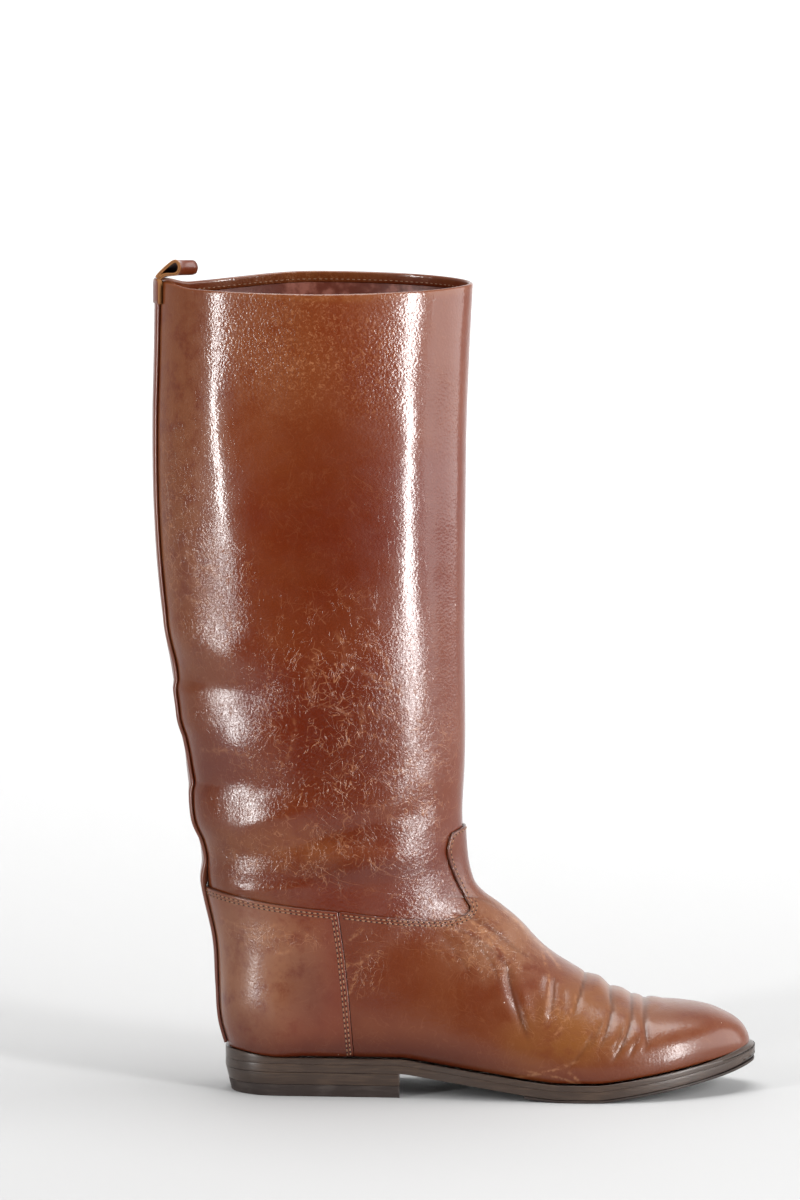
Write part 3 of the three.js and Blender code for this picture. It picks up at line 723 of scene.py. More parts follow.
    # painted shade: the crease troughs darkened with the edge colour
    colour = over(colour, look["edge"], fold, 0.55)
    colour = over(colour, look["crack"], scratch, ramp(noise(300, 2), 0.4, 0.6, 0.05, 0.5))
    colour = over(colour, "#d8cfc4", specks, 0.6)
    tree.links.new(colour, shader.inputs["Base Color"])

    gloss = ramp(mottle, 0.3, 0.7, look["roughness"] - 0.04, look["roughness"] + 0.05)
    for rubbed in (dull, worn):
        gloss = sums("ADD", gloss, sums("MULTIPLY", rubbed, 0.12))
    tree.links.new(gloss, shader.inputs["Roughness"])
    shader.inputs["IOR"].default_value = 1.5
    shader.inputs["Coat Weight"].default_value = look["coat"]
    shader.inputs["Coat Roughness"].default_value = look["coatRoughness"]
    shader.inputs["Coat IOR"].default_value = 1.45
    shader.inputs["Specular IOR Level"].default_value = 0.18

    # Grain pebbles 1.2 mm wide, creasing 4 to 8 mm long, and the cracks, stacked from broad to fine
    ripples = sums("MAXIMUM", sums("MULTIPLY", crazed, 0.7), sums("MULTIPLY", pebbled, 0.5))
    ripples = sums("MULTIPLY", creasing, sums("MAXIMUM", ripples, 0.05))
    grain = sums("MULTIPLY", pebbles, sums("ADD", sums("MULTIPLY", pebbled, 0.8), 0.25))
    bump = bumped(noise(28, 2), 0.0012, 0.45)
    bump = bumped(ripples, 0.00045, look["ripple"], bump)
    bump = bumped(lines, 0.00008, 0.8, bump)
    bump = bumped(grain, 0.00035, 0.6, bump)
    tree.links.new(bump, shader.inputs["Normal"])
    tree.links.new(bump, shader.inputs["Coat Normal"])
    return material


# In each look: the dark colour is painted shade, the browner colour is a real tone that is also painted as
# sheen on the instep, and the edge colour, the inked edges, also paints shade into the crease troughs
shaftLeather = waxedCalf("calf leather, aniline dyed and waxed", {
    "deep": "#4f1804", "middle": "#58260e", "brown_and_sheen": "#643518", "worn": "#6b431c", "crack": "#946546",
    "edge": "#2a130b", "dark": "#3e1004",
    "roughness": 0.32, "coat": 0.75, "coatRoughness": 0.12, "ripple": 0.75,
})
vampLeather = waxedCalf("calf leather, lasted, waxed and rubbed by wear", {
    "deep": "#501d07", "middle": "#5a2a11", "brown_and_sheen": "#6b432b", "worn": "#65380d", "crack": "#946746",
    "edge": "#2a130b", "dark": "#3e1004",
    "roughness": 0.4, "coat": 0.65, "coatRoughness": 0.2, "ripple": 0.6,
})
counterLeather = waxedCalf("calf leather, moulded over a heel stiffener", {
    "deep": "#561f0b", "middle": "#612e17", "brown_and_sheen": "#72472f", "worn": "#6b431c", "crack": "#946546",
    "edge": "#2a130b", "dark": "#3e1004",
    "roughness": 0.36, "coat": 0.8, "coatRoughness": 0.24, "ripple": 0.5,
})


# Edges cut, inked and burnished with wax, or moulded: fine lines along the layers, rubbed paler in spots
def layeredEdge(name, look):
    material, tree, shader = newMaterial(name)
    place = addNode(tree, "ShaderNodeTexCoord").outputs["Object"]
    level = addNode(tree, "ShaderNodeMapping", {"Vector": place, "Scale": look["stretch"]}).outputs[0]
    fineInputs = {"Scale": look["scale"], "Detail": 4.0, "Vector": level}
    fine = addNode(tree, "ShaderNodeTexNoise", fineInputs).outputs["Fac"]
    broadInputs = {"Scale": 55.0, "Detail": 3.0, "Vector": place}
    broad = addNode(tree, "ShaderNodeTexNoise", broadInputs).outputs["Fac"]
    share = addNode(tree, "ShaderNodeMath", {0: fine, 1: broad}, operation="MULTIPLY").outputs[0]
    colour = mixColours(tree, smoothShare(tree, share, 0.2, 0.42), look["dark"], look["pale"])
    tree.links.new(colour, shader.inputs["Base Color"])
    bump = addNode(tree, "ShaderNodeBump", {"Height": fine, "Distance": 0.0003, "Strength": look["bump"]})
    tree.links.new(bump.outputs[0], shader.inputs["Normal"])
    shader.inputs["Roughness"].default_value = look["roughness"]
    shader.inputs["IOR"].default_value = 1.5
    shader.inputs["Specular IOR Level"].default_value = 0.3
    shader.inputs["Coat Weight"].default_value = look["coat"]
    shader.inputs["Coat Roughness"].default_value = 0.3
    return material


liningLeather = layeredEdge("sheepskin lining, glazed and crinkled", {
    "dark": "#5e2819", "pale": "#8b5446", "stretch": (1, 1, 1), "scale": 220.0,
    "bump": 1.0, "roughness": 0.45, "coat": 0.8,
})
soleLeather = layeredEdge("bend leather, edge inked and waxed", {
    "dark": "#2e2017", "pale": "#3f2f24", "stretch": (1, 1, 14), "scale": 90.0,
    "bump": 0.35, "roughness": 0.4, "coat": 0.5,
})
soleRubber = layeredEdge("rubber sheet, moulded and scuffed", {
    "dark": "#261c18", "pale": "#39302c", "stretch": (1, 1, 5), "scale": 120.0,
    "bump": 0.5, "roughness": 0.65, "coat": 0.1,
})
threadMaterial = plainMaterial("linen thread, waxed and lock stitched", "#7a563c", 0.6)
holeDark = plainMaterial("needle hole, in shade", "#1c0d08", 0.9)
rawEdge = plainMaterial("calf leather, raw cut edge", "#7a4c1e", 0.8)

# The shaft: outer face, rolled rim and facing in one skin, the lining in another
shaft = {
    "wall": 2.3,
    "spacing": 1.55,
    "around": 275,
    "facing": 4.6,
    "facingStep": 0.6,
    "liningSpacing": 3,
    "liningAround": 130,
}


def placeAtBack(height):
    places = np.linspace(14, collarPlace, 4000)
    return float(np.interp(height, lastPoint(places, np.full(4000, math.pi))[:, 2], places))


# A distance down from the rim, in places of the last
def rimStep(distance):
    step = 0.1
    rim, below = lastPoint(np.array([collarPlace, collarPlace - step]), np.zeros(2))[:, 2]
    return distance / (rim - below) * step


# What lies above the sole, cut along the line where the foot meets it
def aboveSole(columns, base, triangles):
    height = base[:, 2] - upperFoot(base[:, 0])
    columns, height, triangles, _ = splitAt(columns, height, triangles, 0.0)
    return dropUnused(columns, triangles[height[triangles].mean(axis=1) > 0])


def buildShaft():
    radius, inside = shaft["wall"] / 2, -shaft["wall"]
    angles = np.linspace(-math.pi, math.pi, shaft["around"] + 1)
    outerPlaces = spreadPlaces(0, collarPlace - rimStep(radius), shaft["spacing"])
    # each row is a place on the last, an offset from it and a lift over the rim
    rows = [(p, 0.0, 0.0) for p in outerPlaces]
    rim = collarPlace - rimStep(radius)
    for turn in np.arange(1, 8) * math.pi / 8:
        rows.append((rim, -radius + radius * math.cos(turn), radius * math.sin(turn)))
    for depth in (0, 0.8, 1.6, 2.4, 3.2):
        rows.append((collarPlace - rimStep(radius + depth), inside, 0.0))
    # the facing's lower edge, a small step down to the lining
    for below, step in ((0, 0.1), (0.3, shaft["facingStep"] * 0.5), (0.2, shaft["facingStep"])):
        rows.append((collarPlace - rimStep(shaft["facing"] + below), inside + step, 0.0))
    rows = np.array(rows)
    step, angle, triangles = gridOf(np.arange(len(rows), dtype=float), angles)
    base = lastPoint(rows[step.astype(int), 0], angle)
    (step, angle), triangles = aboveSole([step, angle], base, triangles)
    low = np.floor(step).astype(int)
    high = np.minimum(low + 1, len(rows) - 1)
    share = (step - low)[:, None]
    place, offset, lift = (rows[low] * (1 - share) + rows[high] * share).T
    points = leatherPoint(place, angle, offset, lift)
    marks = leatherMarks(lastPoint(place, angle))
    piece = addMesh("shaft_skin", points, triangles, [shaftLeather], marks=marks)
    dress(weld(piece), "upper", "shaft_leather")

    angles = np.linspace(-math.pi, math.pi, shaft["liningAround"] + 1)
    places = spreadPlaces(0, collarPlace - rimStep(2.0), shaft["liningSpacing"])
    place, angle, triangles = gridOf(places, angles)
    (place, angle), triangles = aboveSole([place, angle], lastPoint(place, angle), triangles)
    # the lining rises 0.5 mm to tuck behind the facing
    settled = ease((last["shaftHeight"] - 5 - lastPoint(place, angle)[:, 2]) / 10)
    points = leatherPoint(place, angle, inside + 0.5 * (1 - settled))
    piece = addMesh("shaft_lining", points, triangles[:, ::-1], [liningLeather])
    dress(weld(piece), "upper", "lining_leather")


buildShaft()
print("shaft and lining made")

# Panels lapped over the shaft. clear is the gap under them, round is how far in the rounded edge reaches.
panels = {
    "vamp": {"thickness": 1.4, "clear": 0.3, "round": 0.8, "spacing": 1.25, "around": 250, "shift": 0.1},
    "counter": {"thickness": 1.6, "clear": 0.3, "round": 0.6, "spacing": 1.25, "around": 180},
}
secondRowTop = 101  # the vamp's second row of stitches runs only below this height, not round the tongue


def panelOutline(name):
    if name == "counter":
        corner = [(counterTop[-1][0], counterFront[-1][1])]
        return np.concatenate([counterTop, corner, counterFront[:0:-1]]), [counterTop, counterFront]
    shift = np.array([panels["vamp"]["shift"], 0])
    toe = float(alongSole(1)) + last["soleLength"]
    pastToe = [(toe, counterFront[-1][1]), (toe, vampTop[-1][1])]
    outline = np.concatenate([pastToe, vampTop[::-1], counterFront[1:]])
    return outline + shift, [vampTop + shift, counterFront + shift]


# Distance in from a panel's edges: for its rows of stitches, for its rounded edge, and for its cut
def panelDepth(name, points):
    outline, edges = panelOutline(name)
    x, z = points[:, 0], points[:, 2]
    away = np.minimum(*[lineDistance(x, z, edge)[0] for edge in edges])
    seamDepth = np.where(insideOutline(x, z, outline), away, -away)
    depth = np.minimum(seamDepth, z - upperFoot(x))
    if name == "counter":
        return seamDepth, depth, depth
    start, after = edges[0][:2]
    carriedOn = np.concatenate([[start + (start - after) * 20], edges[0]])
    topDepth = lineDistance(x, z, carriedOn)[0]
    return topDepth, np.minimum(topDepth, z - upperFoot(x)), depth


stitchPlaces = {}


def buildPanel(name, firstPlace, endPlace, node, slotName, material, stitchLevels):
    panel = panels[name]
    angles = np.linspace(-math.pi, math.pi, panel["around"] + 1)
    place, angle, triangles = gridOf(spreadPlaces(firstPlace, endPlace, panel["spacing"]), angles)
    top = panel["clear"] + panel["thickness"]
    outerFace = lastPoint(place, angle) + lastNormal(place, angle) * top
    seamDepth, edgeDepth, depth = panelDepth(name, outerFace)
    keep = (depth[triangles] > -4).any(axis=1)
    triangles = triangles[keep]
    columns = [place, angle, seamDepth, edgeDepth]
    for level in (0.0, 0.25, 0.55, panel["round"]):
        columns, depth, triangles, _ = splitAt(columns, depth, triangles, level)
        if level == 0:
            triangles = triangles[depth[triangles].mean(axis=1) > 0]
    columns, triangles = dropUnused([*columns, depth], triangles)
    place, angle, seamDepth, edgeDepth, depth = columns
    stitchPlaces[name] = []
    for level in stitchLevels:
        split, _, _, links = splitAt([place, angle], seamDepth, triangles, level)
        whole = name == "counter" or level < 2
        for line in chains(links):
            height = lastPoint(split[0][line], split[1][line])[:, 2]
            below = height < secondRowTop
            parts = [line] if whole else np.split(line, np.flatnonzero(np.diff(below)) + 1)
            for part in parts:
                row = split[0][part], split[1][part]
                if len(part) > 5 and (whole or lastPoint(*row)[:, 2].mean() < secondRowTop):
                    stitchPlaces[name].append(row)
    swell = np.sqrt(np.clip(1 - (1 - np.clip(edgeDepth / panel["round"], 0, 1)) ** 2, 0, 1))
    offset = panel["clear"] + panel["thickness"] * (0.35 + 0.65 * swell)
    outer = leatherPoint(place, angle, offset)
    under = leatherPoint(place, angle, np.full(len(place), panel["clear"]))
    marks = leatherMarks(lastPoint(place, angle))
    marks["edge"] = 1 - ease(edgeDepth / panel["round"])
    marks = {key: np.concatenate([value, value]) for key, value in marks.items()}
    faces = closedSheet(triangles, len(place))
    piece = addMesh(name + "_panel", np.concatenate([outer, under]), faces, [material], marks=marks)
    dress(weld(piece), node, slotName)


buildPanel("vamp", 0, 20, "vamp", "panel_leather", vampLeather, (1.4, 3.0))
buildPanel("counter", 9, 20, "counter", "panel_leather", counterLeather, (1.8, 3.4))
print("vamp and counter made")

# The strip over the back seam
strap = {
    "width": 12,
    "thickness": 1.6,
    "clear": 0.3,
    "counter": 1.6,
    "top": 409.7,
    "columns": 13,
    "spacing": 1.6,
    "round": 1.0,
}


# The angle on the last whose point, some offset out, lies a given distance sideways of the back
def backAngle(place, sideways, offset):
    low = np.full(len(place), math.pi - 1)
    high = np.full(len(place), math.pi + 1)
    for _ in range(28):
        middle = (low + high) / 2
        y = (lastPoint(place, middle) + lastNormal(place, middle) * offset[:, None])[:, 1]
        above = y > sideways
        low = np.where(above, low, middle)
        high = np.where(above, middle, high)
    return (low + high) / 2


def buildStrap():
    stepPlace = placeAtBack(seatHeight + 1.055 * seamRise)
    topPlace = placeAtBack(strap["top"])
    places = spreadPlaces(12, topPlace, strap["spacing"])
    back = np.full(len(places), math.pi)
    foot = lastPoint(places, back) + lastNormal(places, back) * 2
    places = places[(places > 13) & (foot[:, 2] > upperFoot(foot[:, 0]) + 0.2)]
    sideways = strap["width"] / 2 * np.sin(np.linspace(-math.pi / 2, math.pi / 2, strap["columns"]))
    place, side, triangles = gridOf(places, sideways)
    # it climbs over the counter's top edge, its under face close behind the edge
    climb = strap["clear"] + strap["counter"]
    lift = strap["clear"] + ease((stepPlace - place) / 0.5 + 1) * climb
    lying = strap["clear"] + ease((stepPlace - place) / 0.06 - 0.6) * climb
    inset = strap["width"] / 2 - np.abs(side)
    swell = np.sqrt(np.clip(1 - (1 - np.clip(inset / strap["round"], 0, 1)) ** 2, 0, 1))
    top = lift + strap["thickness"] * (0.4 + 0.6 * swell)
    outer = leatherPoint(place, backAngle(place, side, top), top)
    inner = leatherPoint(place, backAngle(place, side, lying), lying)
    faces = closedSheet(triangles, len(place))
    piece = addMesh("back_seam_strip", np.concatenate([outer, inner]), faces, [counterLeather])
    dress(piece, "back_strap", "strap_leather")


buildStrap()
print("back strap made")

# The sole: outlines in plan from the feather line, with the same ledge as the solids
sole = {"ledge": 2.7, "panelOffset": 1.9, "points": 220, "across": 9}


# Where the panels meet the sole, on one side, seen in plan
def featherLine(side):
    def heightOver(place, angle):
        p = lastPoint(place, angle) + lastNormal(place, angle) * sole["panelOffset"]
        return p[:, 2] - upperFoot(p[:, 0]), p

    toe = np.linspace(0.03, 2, 2000)
    toeHeight = heightOver(toe, np.zeros(2000))[0]
    toePlace = toe[np.argmax(toeHeight > 0)]
    heel = np.linspace(12, 17, 3000)
    heelHeight = heightOver(heel, np.full(3000, math.pi))[0]
    heelPlace = heel[np.argmax(heelHeight > 0)]
    places = np.linspace(toePlace, heelPlace, 400)
    low, high = np.zeros(400), np.full(400, math.pi)
    for _ in range(30):
        middle = (low + high) / 2
        above = heightOver(places, side * middle)[0] > 0
        low = np.where(above, middle, low)
        high = np.where(above, high, middle)
    angle = (low + high) / 2
    angle[0], angle[-1] = 0, math.pi
    return heightOver(places, side * angle)[1][:, :2]


def travelAlong(line):
    return np.concatenate([[0], np.cumsum(np.linalg.norm(np.diff(line, axis=0), axis=1))])


def respaced(line, count):
    travelled = travelAlong(line)
    at = np.linspace(0, travelled[-1], count)
    return np.column_stack([np.interp(at, travelled, line[:, k]) for k in range(line.shape[1])])


def signedArea(ring):
    x, y = ring[:, 0], ring[:, 1]
    return np.sum(x * np.roll(y, -1) - y * np.roll(x, -1)) / 2


def grown(outline, distance):
    along = np.roll(outline, -1, axis=0) - np.roll(outline, 1, axis=0)
    along /= np.linalg.norm(along, axis=1, keepdims=True)
    return outline + np.column_stack([along[:, 1], -along[:, 0]]) * distance


outerFeather = respaced(featherLine(1), sole["points"])
innerFeather = respaced(featherLine(-1), sole["points"])
feather = np.concatenate([innerFeather, outerFeather[-2:0:-1]])
for _ in range(6):  # evens out the small kinks of the traced line
    feather = (feather + np.roll(feather, 1, axis=0) + np.roll(feather, -1, axis=0)) / 3
soleOutline = grown(feather, sole["ledge"])
print("sole outline, area in square millimetres", round(abs(signedArea(soleOutline))))


# A closed layer: the outline's edge rows from top to bottom, and both faces as strips from side to side
# half is the points per side; the outline runs toe, inner side, heel, outer side
def layerMesh(name, half, rows, materials):
    count = len(rows[0])
    points = np.concatenate(rows)
    faces = []
    for r in range(len(rows) - 1):
        a = r * count
        for i in range(count):
            j = (i + 1) % count
            faces.append((a + i, a + count + i, a + count + j, a + j))
    pairs = [(i, (count - i) % count) for i in range(1, half)]
    across = sole["across"]
    for start, flip in ((0, False), ((len(rows) - 1) * count, True)):
        edge = rows[0] if not flip else rows[-1]
        strips = []
        for i, j in pairs:
            strip = [start + i]
            for k in range(1, across):
                t = k / across
                strip.append(len(points))
                points = np.concatenate([points, [edge[i] * (1 - t) + edge[j] * t]])
            strip.append(start + j)
            strips.append(strip)
        for s, t in zip(strips, strips[1:]):
            for k in range(across):
                quad = (s[k], s[k + 1], t[k + 1], t[k])
                faces.append(quad[::-1] if flip else quad)
        for strip, tip in ((strips[0], 0), (strips[-1], half)):
            for k in range(across):
                tri = (strip[k], strip[k + 1], start + tip)
                flipped = flip != (tip == 0)
                faces.append(tri[::-1] if flipped else tri)
    return addMesh(name, points, faces, materials)


def soleRows(outline, lowAt, highAt, topRadius, lowRadius, steps=4, mid=3):
    rows = []
    shapes = []
    for k in range(steps + 1):
        turn = math.pi / 2 * k / steps
        shapes.append((topRadius * (1 - math.sin(turn)), 1, -topRadius * (1 - math.cos(turn))))
    for k in range(1, mid):
        shapes.append((0, 1 - k / mid, 0))
    for k in range(steps + 1):
        turn = math.pi / 2 * k / steps
        shapes.append((lowRadius * (1 - math.cos(turn)), 0, lowRadius * (1 - math.sin(turn))))
    toeward = ease((outline[:, 0] - 195) / 30)[:, None]
    for inset, share, shift in shapes:
        ring = grown(outline, -inset)
        low, high = lowAt(outline[:, 0]), highAt(outline[:, 0])
        if share == 1 and topRadius > 0.3:  # the corners are rounder at the toe
            ring = ring + (grown(outline, -inset * 7) - ring) * toeward
            shift = shift * (1 + 3.6 * toeward[:, 0])
        if share == 0 and lowRadius > 0.1:
            ring = ring + (grown(outline, -inset * 11) - ring) * toeward
            shift = shift * (1 + 7 * toeward[:, 0])
        top, bottom = high - topRadius, low + lowRadius
        if 0 < share < 1:
            z = bottom + (top - bottom) * share
        elif share == 1:
            z = high + shift
        else:
            z = low + shift
        rows.append(np.column_stack([ring, z]))
    return rows


half = sole["points"] - 1
layerSpecs = {
    "midsole": {
        "low": lambda x: midsoleBase(x) - 0.12,
        "high": midsoleTop,
        "topRound": 0.5,
        "lowRound": 0.06,
    },
    "outsole": {
        "low": outsoleUnderside,
        "high": lambda x: outsoleTop(x) + 0.1,
        "topRound": 0.06,
        "lowRound": 0.22,
    },
}
for layerName, spec in layerSpecs.items():
    rows = soleRows(soleOutline, spec["low"], spec["high"], spec["topRound"], spec["lowRound"])
    piece = layerMesh(layerName + "_layer", half, rows, [soleLeather])
    dress(piece, layerName, "sole_leather")
print("midsole and outsole made")


# The two sides of the outline before or behind a place, each with the same number of points
def cutPairs(outline, low, high, count):
    inner = outline[: half + 1]
    outer = np.concatenate([outline[:1], outline[:half - 1:-1]])
    sides = []
    for side in (inner, outer):
        order = side[::-1]
        x = order[:, 0]
        inside = (x > low) & (x < high)
        kept = order[inside]
        ends = []
        for limit in (low, high):
            if x.min() < limit < x.max():
                k = np.argmax(x > limit)
                t = (limit - x[k - 1]) / (x[k] - x[k - 1])
                ends.append((limit, order[k - 1, 1] + t * (order[k, 1] - order[k - 1, 1])))
        before = [p for p in ends if p[0] == low]
        after = [p for p in ends if p[0] == high]
        sides.append(respaced(np.array([*before, *kept.tolist(), *after]), count))
    return sides


# A closed block between two plan sides, from side to side in strips, with rounded edges
def blockMesh(name, innerLine, outerLine, shapes, heightAt, materials, endSteps=14):
    # the loop runs forward along the inner side, across the front, back along the outer side, across the back
    front = [innerLine[-1] * (1 - t) + outerLine[-1] * t for t in np.linspace(0, 1, endSteps + 1)[1:-1]]
    back = [outerLine[0] * (1 - t) + innerLine[0] * t for t in np.linspace(0, 1, endSteps + 1)[1:-1]]
    if np.linalg.norm(innerLine[-1] - outerLine[-1]) < 0.5:
        front, outerLine = [], outerLine[:-1]
    if np.linalg.norm(innerLine[0] - outerLine[0]) < 0.5:
        back, outerLine = [], outerLine[1:]
    loop = np.array([*innerLine, *front, *outerLine[::-1], *back])
    if signedArea(loop) < 0:
        loop = loop[::-1]
    rows = []
    for inset, share in shapes:
        along = np.roll(loop, -1, axis=0) - loop
        along /= np.maximum(np.linalg.norm(along, axis=1, keepdims=True), 1e-9)
        before = np.roll(along, 1, axis=0)
        outward = np.column_stack([along[:, 1] + before[:, 1], -along[:, 0] - before[:, 0]])
        outward /= np.maximum((1 + np.sum(along * before, axis=1))[:, None], 0.4)
        ring = loop - outward * inset
        rows.append(heightAt(ring, share))
    count = len(loop)
    points = np.concatenate(rows)
    faces = []
    for r in range(len(rows) - 1):
        for i in range(count):
            j = (i + 1) % count
            faces.append((r * count + i, (r + 1) * count + i, (r + 1) * count + j, r * count + j))
    def capped(mesh):
        mesh.verts.ensure_lookup_table()
        for r, flip in ((0, False), (len(rows) - 1, True)):
            ring = [mesh.verts[r * count + i] for i in range(count)]
            face = mesh.faces.new(ring[::-1] if flip else ring)
            bmesh.ops.triangulate(mesh, faces=[face], ngon_method="EAR_CLIP")

    return edited(addMesh(name, points, faces, materials), capped)


def roundedShapes(radius, thickness, middle=2, steps=4):
    shapes = []
    for k in range(steps + 1):
        turn = math.pi / 2 * k / steps
        shapes.append((radius * (1 - math.sin(turn)), 1 - radius * (1 - math.cos(turn)) / thickness))
    for k in range(1, middle):
        shapes.append((0, (1 - radius / thickness) * (1 - k / middle) + radius / thickness * k / middle))
    for k in range(steps + 1):
        turn = math.pi / 2 * k / steps
        shapes.append((radius * (1 - math.cos(turn)), radius * (1 - math.sin(turn)) / thickness))
    return shapes


halfSole = {"start": 0.56, "thickness": 1.4, "gap": 0.3, "round": 0.4}
beyond = 1000  # past either end of the boot


def buildHalfSole():
    trimmed = grown(soleOutline, -halfSole["gap"])
    innerLine, outerLine = cutPairs(trimmed, float(alongSole(halfSole["start"])), beyond, 160)

    def heightAt(ring, share):
        top = outsoleUnderside(ring[:, 0]) - halfSole["gap"]
        return np.column_stack([ring, top - halfSole["thickness"] * (1 - share)])

    shapes = roundedShapes(halfSole["round"], halfSole["thickness"])
    piece = blockMesh("half_sole_sheet", innerLine, outerLine, shapes, heightAt, [soleRubber])
    dress(piece, "half_sole", "sole_rubber")


heel = {
    "breast": 43,
    "sideTaper": 1.2,
    "backTaper": 3,
    "top": 12.7,
    "topPiece": 6.2,
    "gap": 0.12,
    "round": 0.18,
}


def buildHeel():
    innerLine, outerLine = cutPairs(soleOutline, -beyond, heel["breast"], 110)
    length = heel["breast"] - last["heelBack"]
    stackLow, stackHigh = heel["topPiece"] + heel["gap"], heel["top"] - heel["gap"]
    lifts = {
        "heel_stack": (stackLow, stackHigh, soleLeather, "sole_leather"),
        "heel_top_piece": (0, heel["topPiece"], soleRubber, "sole_rubber"),
    }
    for name, (low, high, material, slotName) in lifts.items():
        def heightAt(ring, share):
            z = low + (high - low) * share
            depth = (heel["top"] - z) / heel["top"]
            forward = heel["backTaper"] * depth * (heel["breast"] - ring[:, 0]) / length
            narrow = 1 - depth * heel["sideTaper"] / (last["heelWidth"] / 2)
            return np.column_stack([ring[:, 0] + forward, ring[:, 1] * narrow, np.full(len(ring), z)])

        shapes = roundedShapes(heel["round"], high - low)
        piece = blockMesh(name + "_block", innerLine, outerLine, shapes, heightAt, [material])
        dress(piece, name, slotName)


buildHalfSole()
buildHeel()
print("half sole and heel made")

# The pull loop: a folded band on two legs behind the collar
loop = {
    "thickness": 1.2,
    "width": 16,
    "rise": 13,
    "reach": 14,
    "stem": 10,
    "twist": 8.6,
    "slack": 0.3,
    "swell": 0.3,
    "droop": 2.6,
    "lean": -2.2,
    "legsTop": 0.25,
    "gap": 0.3,
    "columns": 13,
    "space": [(0.14, 0.31), (0.46, 0.68), (0.76, 0.93), (0.88, 0.9), (0.93, 0.7), (0.81, 0.5), (0.4, 0.47)],
}


def buildLoop():
    rows = np.array(loop["space"])[::-1] * (loop["reach"], loop["rise"])
    count = len(rows)
    at = np.linspace(0, count, 72, endpoint=False)
    ringRow = lambda k: rows[np.mod(k, count)]
    i = np.floor(at).astype(int)
    space = between(ringRow(i - 1), ringRow(i), ringRow(i + 1), ringRow(i + 2), (at - i)[:, None])
    if signedArea(space) < 0:
        space = space[::-1]
    outerRing = grown(space, loop["thickness"])
    space = grown(space, -loop["swell"])
    legsInside = loop["thickness"] * (2 + loop["slack"])
    sideways = np.linspace(-0.5, 0.5, loop["columns"]) * loop["width"]
    legsPlace = np.full(len(sideways), placeAtBack(last["shaftHeight"] - loop["stem"]))
    onBack = lastPoint(legsPlace, backAngle(legsPlace, sideways, np.zeros(len(sideways))))[:, 0]

    # lays a ring of the side view across the boot at one of the columns, twisted, drooping and leaning back
    def placed(flat, column):
        y = sideways[column]
        raised = ease(2 * (flat[:, 1] - loop["gap"]) / loop["rise"])
        twist = loop["twist"] * (y / loop["width"] + 0.5) * raised
        x = flat[:, 0] - loop["gap"] - legsInside + onBack[column] + twist + loop["lean"] * raised
        z = flat[:, 1] + last["shaftHeight"] - loop["droop"] * (y / loop["width"] + 0.65) * raised
        return np.column_stack([x, np.full(len(flat), y), z])

    points, faces, kinds = [], [], []

    # a band from column to column, with or without a hole through it; layers are the plies of its cut edge
    def band(outline, hole=None, layers=()):
        start = len(points)
        ringCount = len(outline)
        for column in range(loop["columns"]):
            points.extend(placed(outline, column).tolist())
            if hole is not None:
                points.extend(placed(hole, column).tolist())
        stride = ringCount * (2 if hole is not None else 1)
        for column in range(loop["columns"] - 1):
            for k in range(ringCount):
                n = (k + 1) % ringCount
                a, b = start + column * stride, start + (column + 1) * stride
                faces.append((a + k, a + n, b + n, b + k))
                kinds.append(0)
                if hole is not None:
                    faces.append((a + ringCount + k, b + ringCount + k, b + ringCount + n, a + ringCount + n))
                    kinds.append(1)
        for column in (0, loop["columns"] - 1):
            if hole is None:
                face = [start + column * stride + k for k in range(ringCount)]
                faces.append(tuple(face[::-1] if column == 0 else face))
                kinds.append(2)
                continue
            rings = []
            for share in layers:
                flat = outline * (1 - share) + hole * share
                if share in (0, 1):
                    first = start + column * stride + (ringCount if share else 0)
                    rings.append([first + k for k in range(ringCount)])
                else:
                    rings.append([len(points) + k for k in range(ringCount)])
                    points.extend(placed(flat, column).tolist())
            for layer, (one, two) in enumerate(zip(rings, rings[1:])):
                for k in range(ringCount):
                    n = (k + 1) % ringCount
                    face = (one[k], two[k], two[n], one[n])
                    faces.append(face if column == 0 else face[::-1])
                    kinds.append(3 if layer == 1 else 2)

    band(outerRing, space, [0, 0.42, 0.58, 1])
    inner, outer = legsInside, loop["thickness"] * loop["slack"]
    top = loop["rise"] * loop["legsTop"]
    heights = np.linspace(-loop["stem"], top, 9)
    legs = np.array([(inner, h) for h in heights] + [(outer, h) for h in heights[::-1]])
    band(legs)
    piece = addMesh("pull_tab", points, faces, [counterLeather, shaftLeather, rawEdge, soleLeather], kinds)
    dress(facePointsOut(piece), "pull_loop", "strap_leather")


buildLoop()
print("pull loop made")

# Stitches, each a short raised thread between two sunk ends
stitching = {"pitch": 2.85, "length": 2.0, "radius": 0.36, "sink": 0.05, "hole": 0.46, "tubes": 5, "sides": 6}


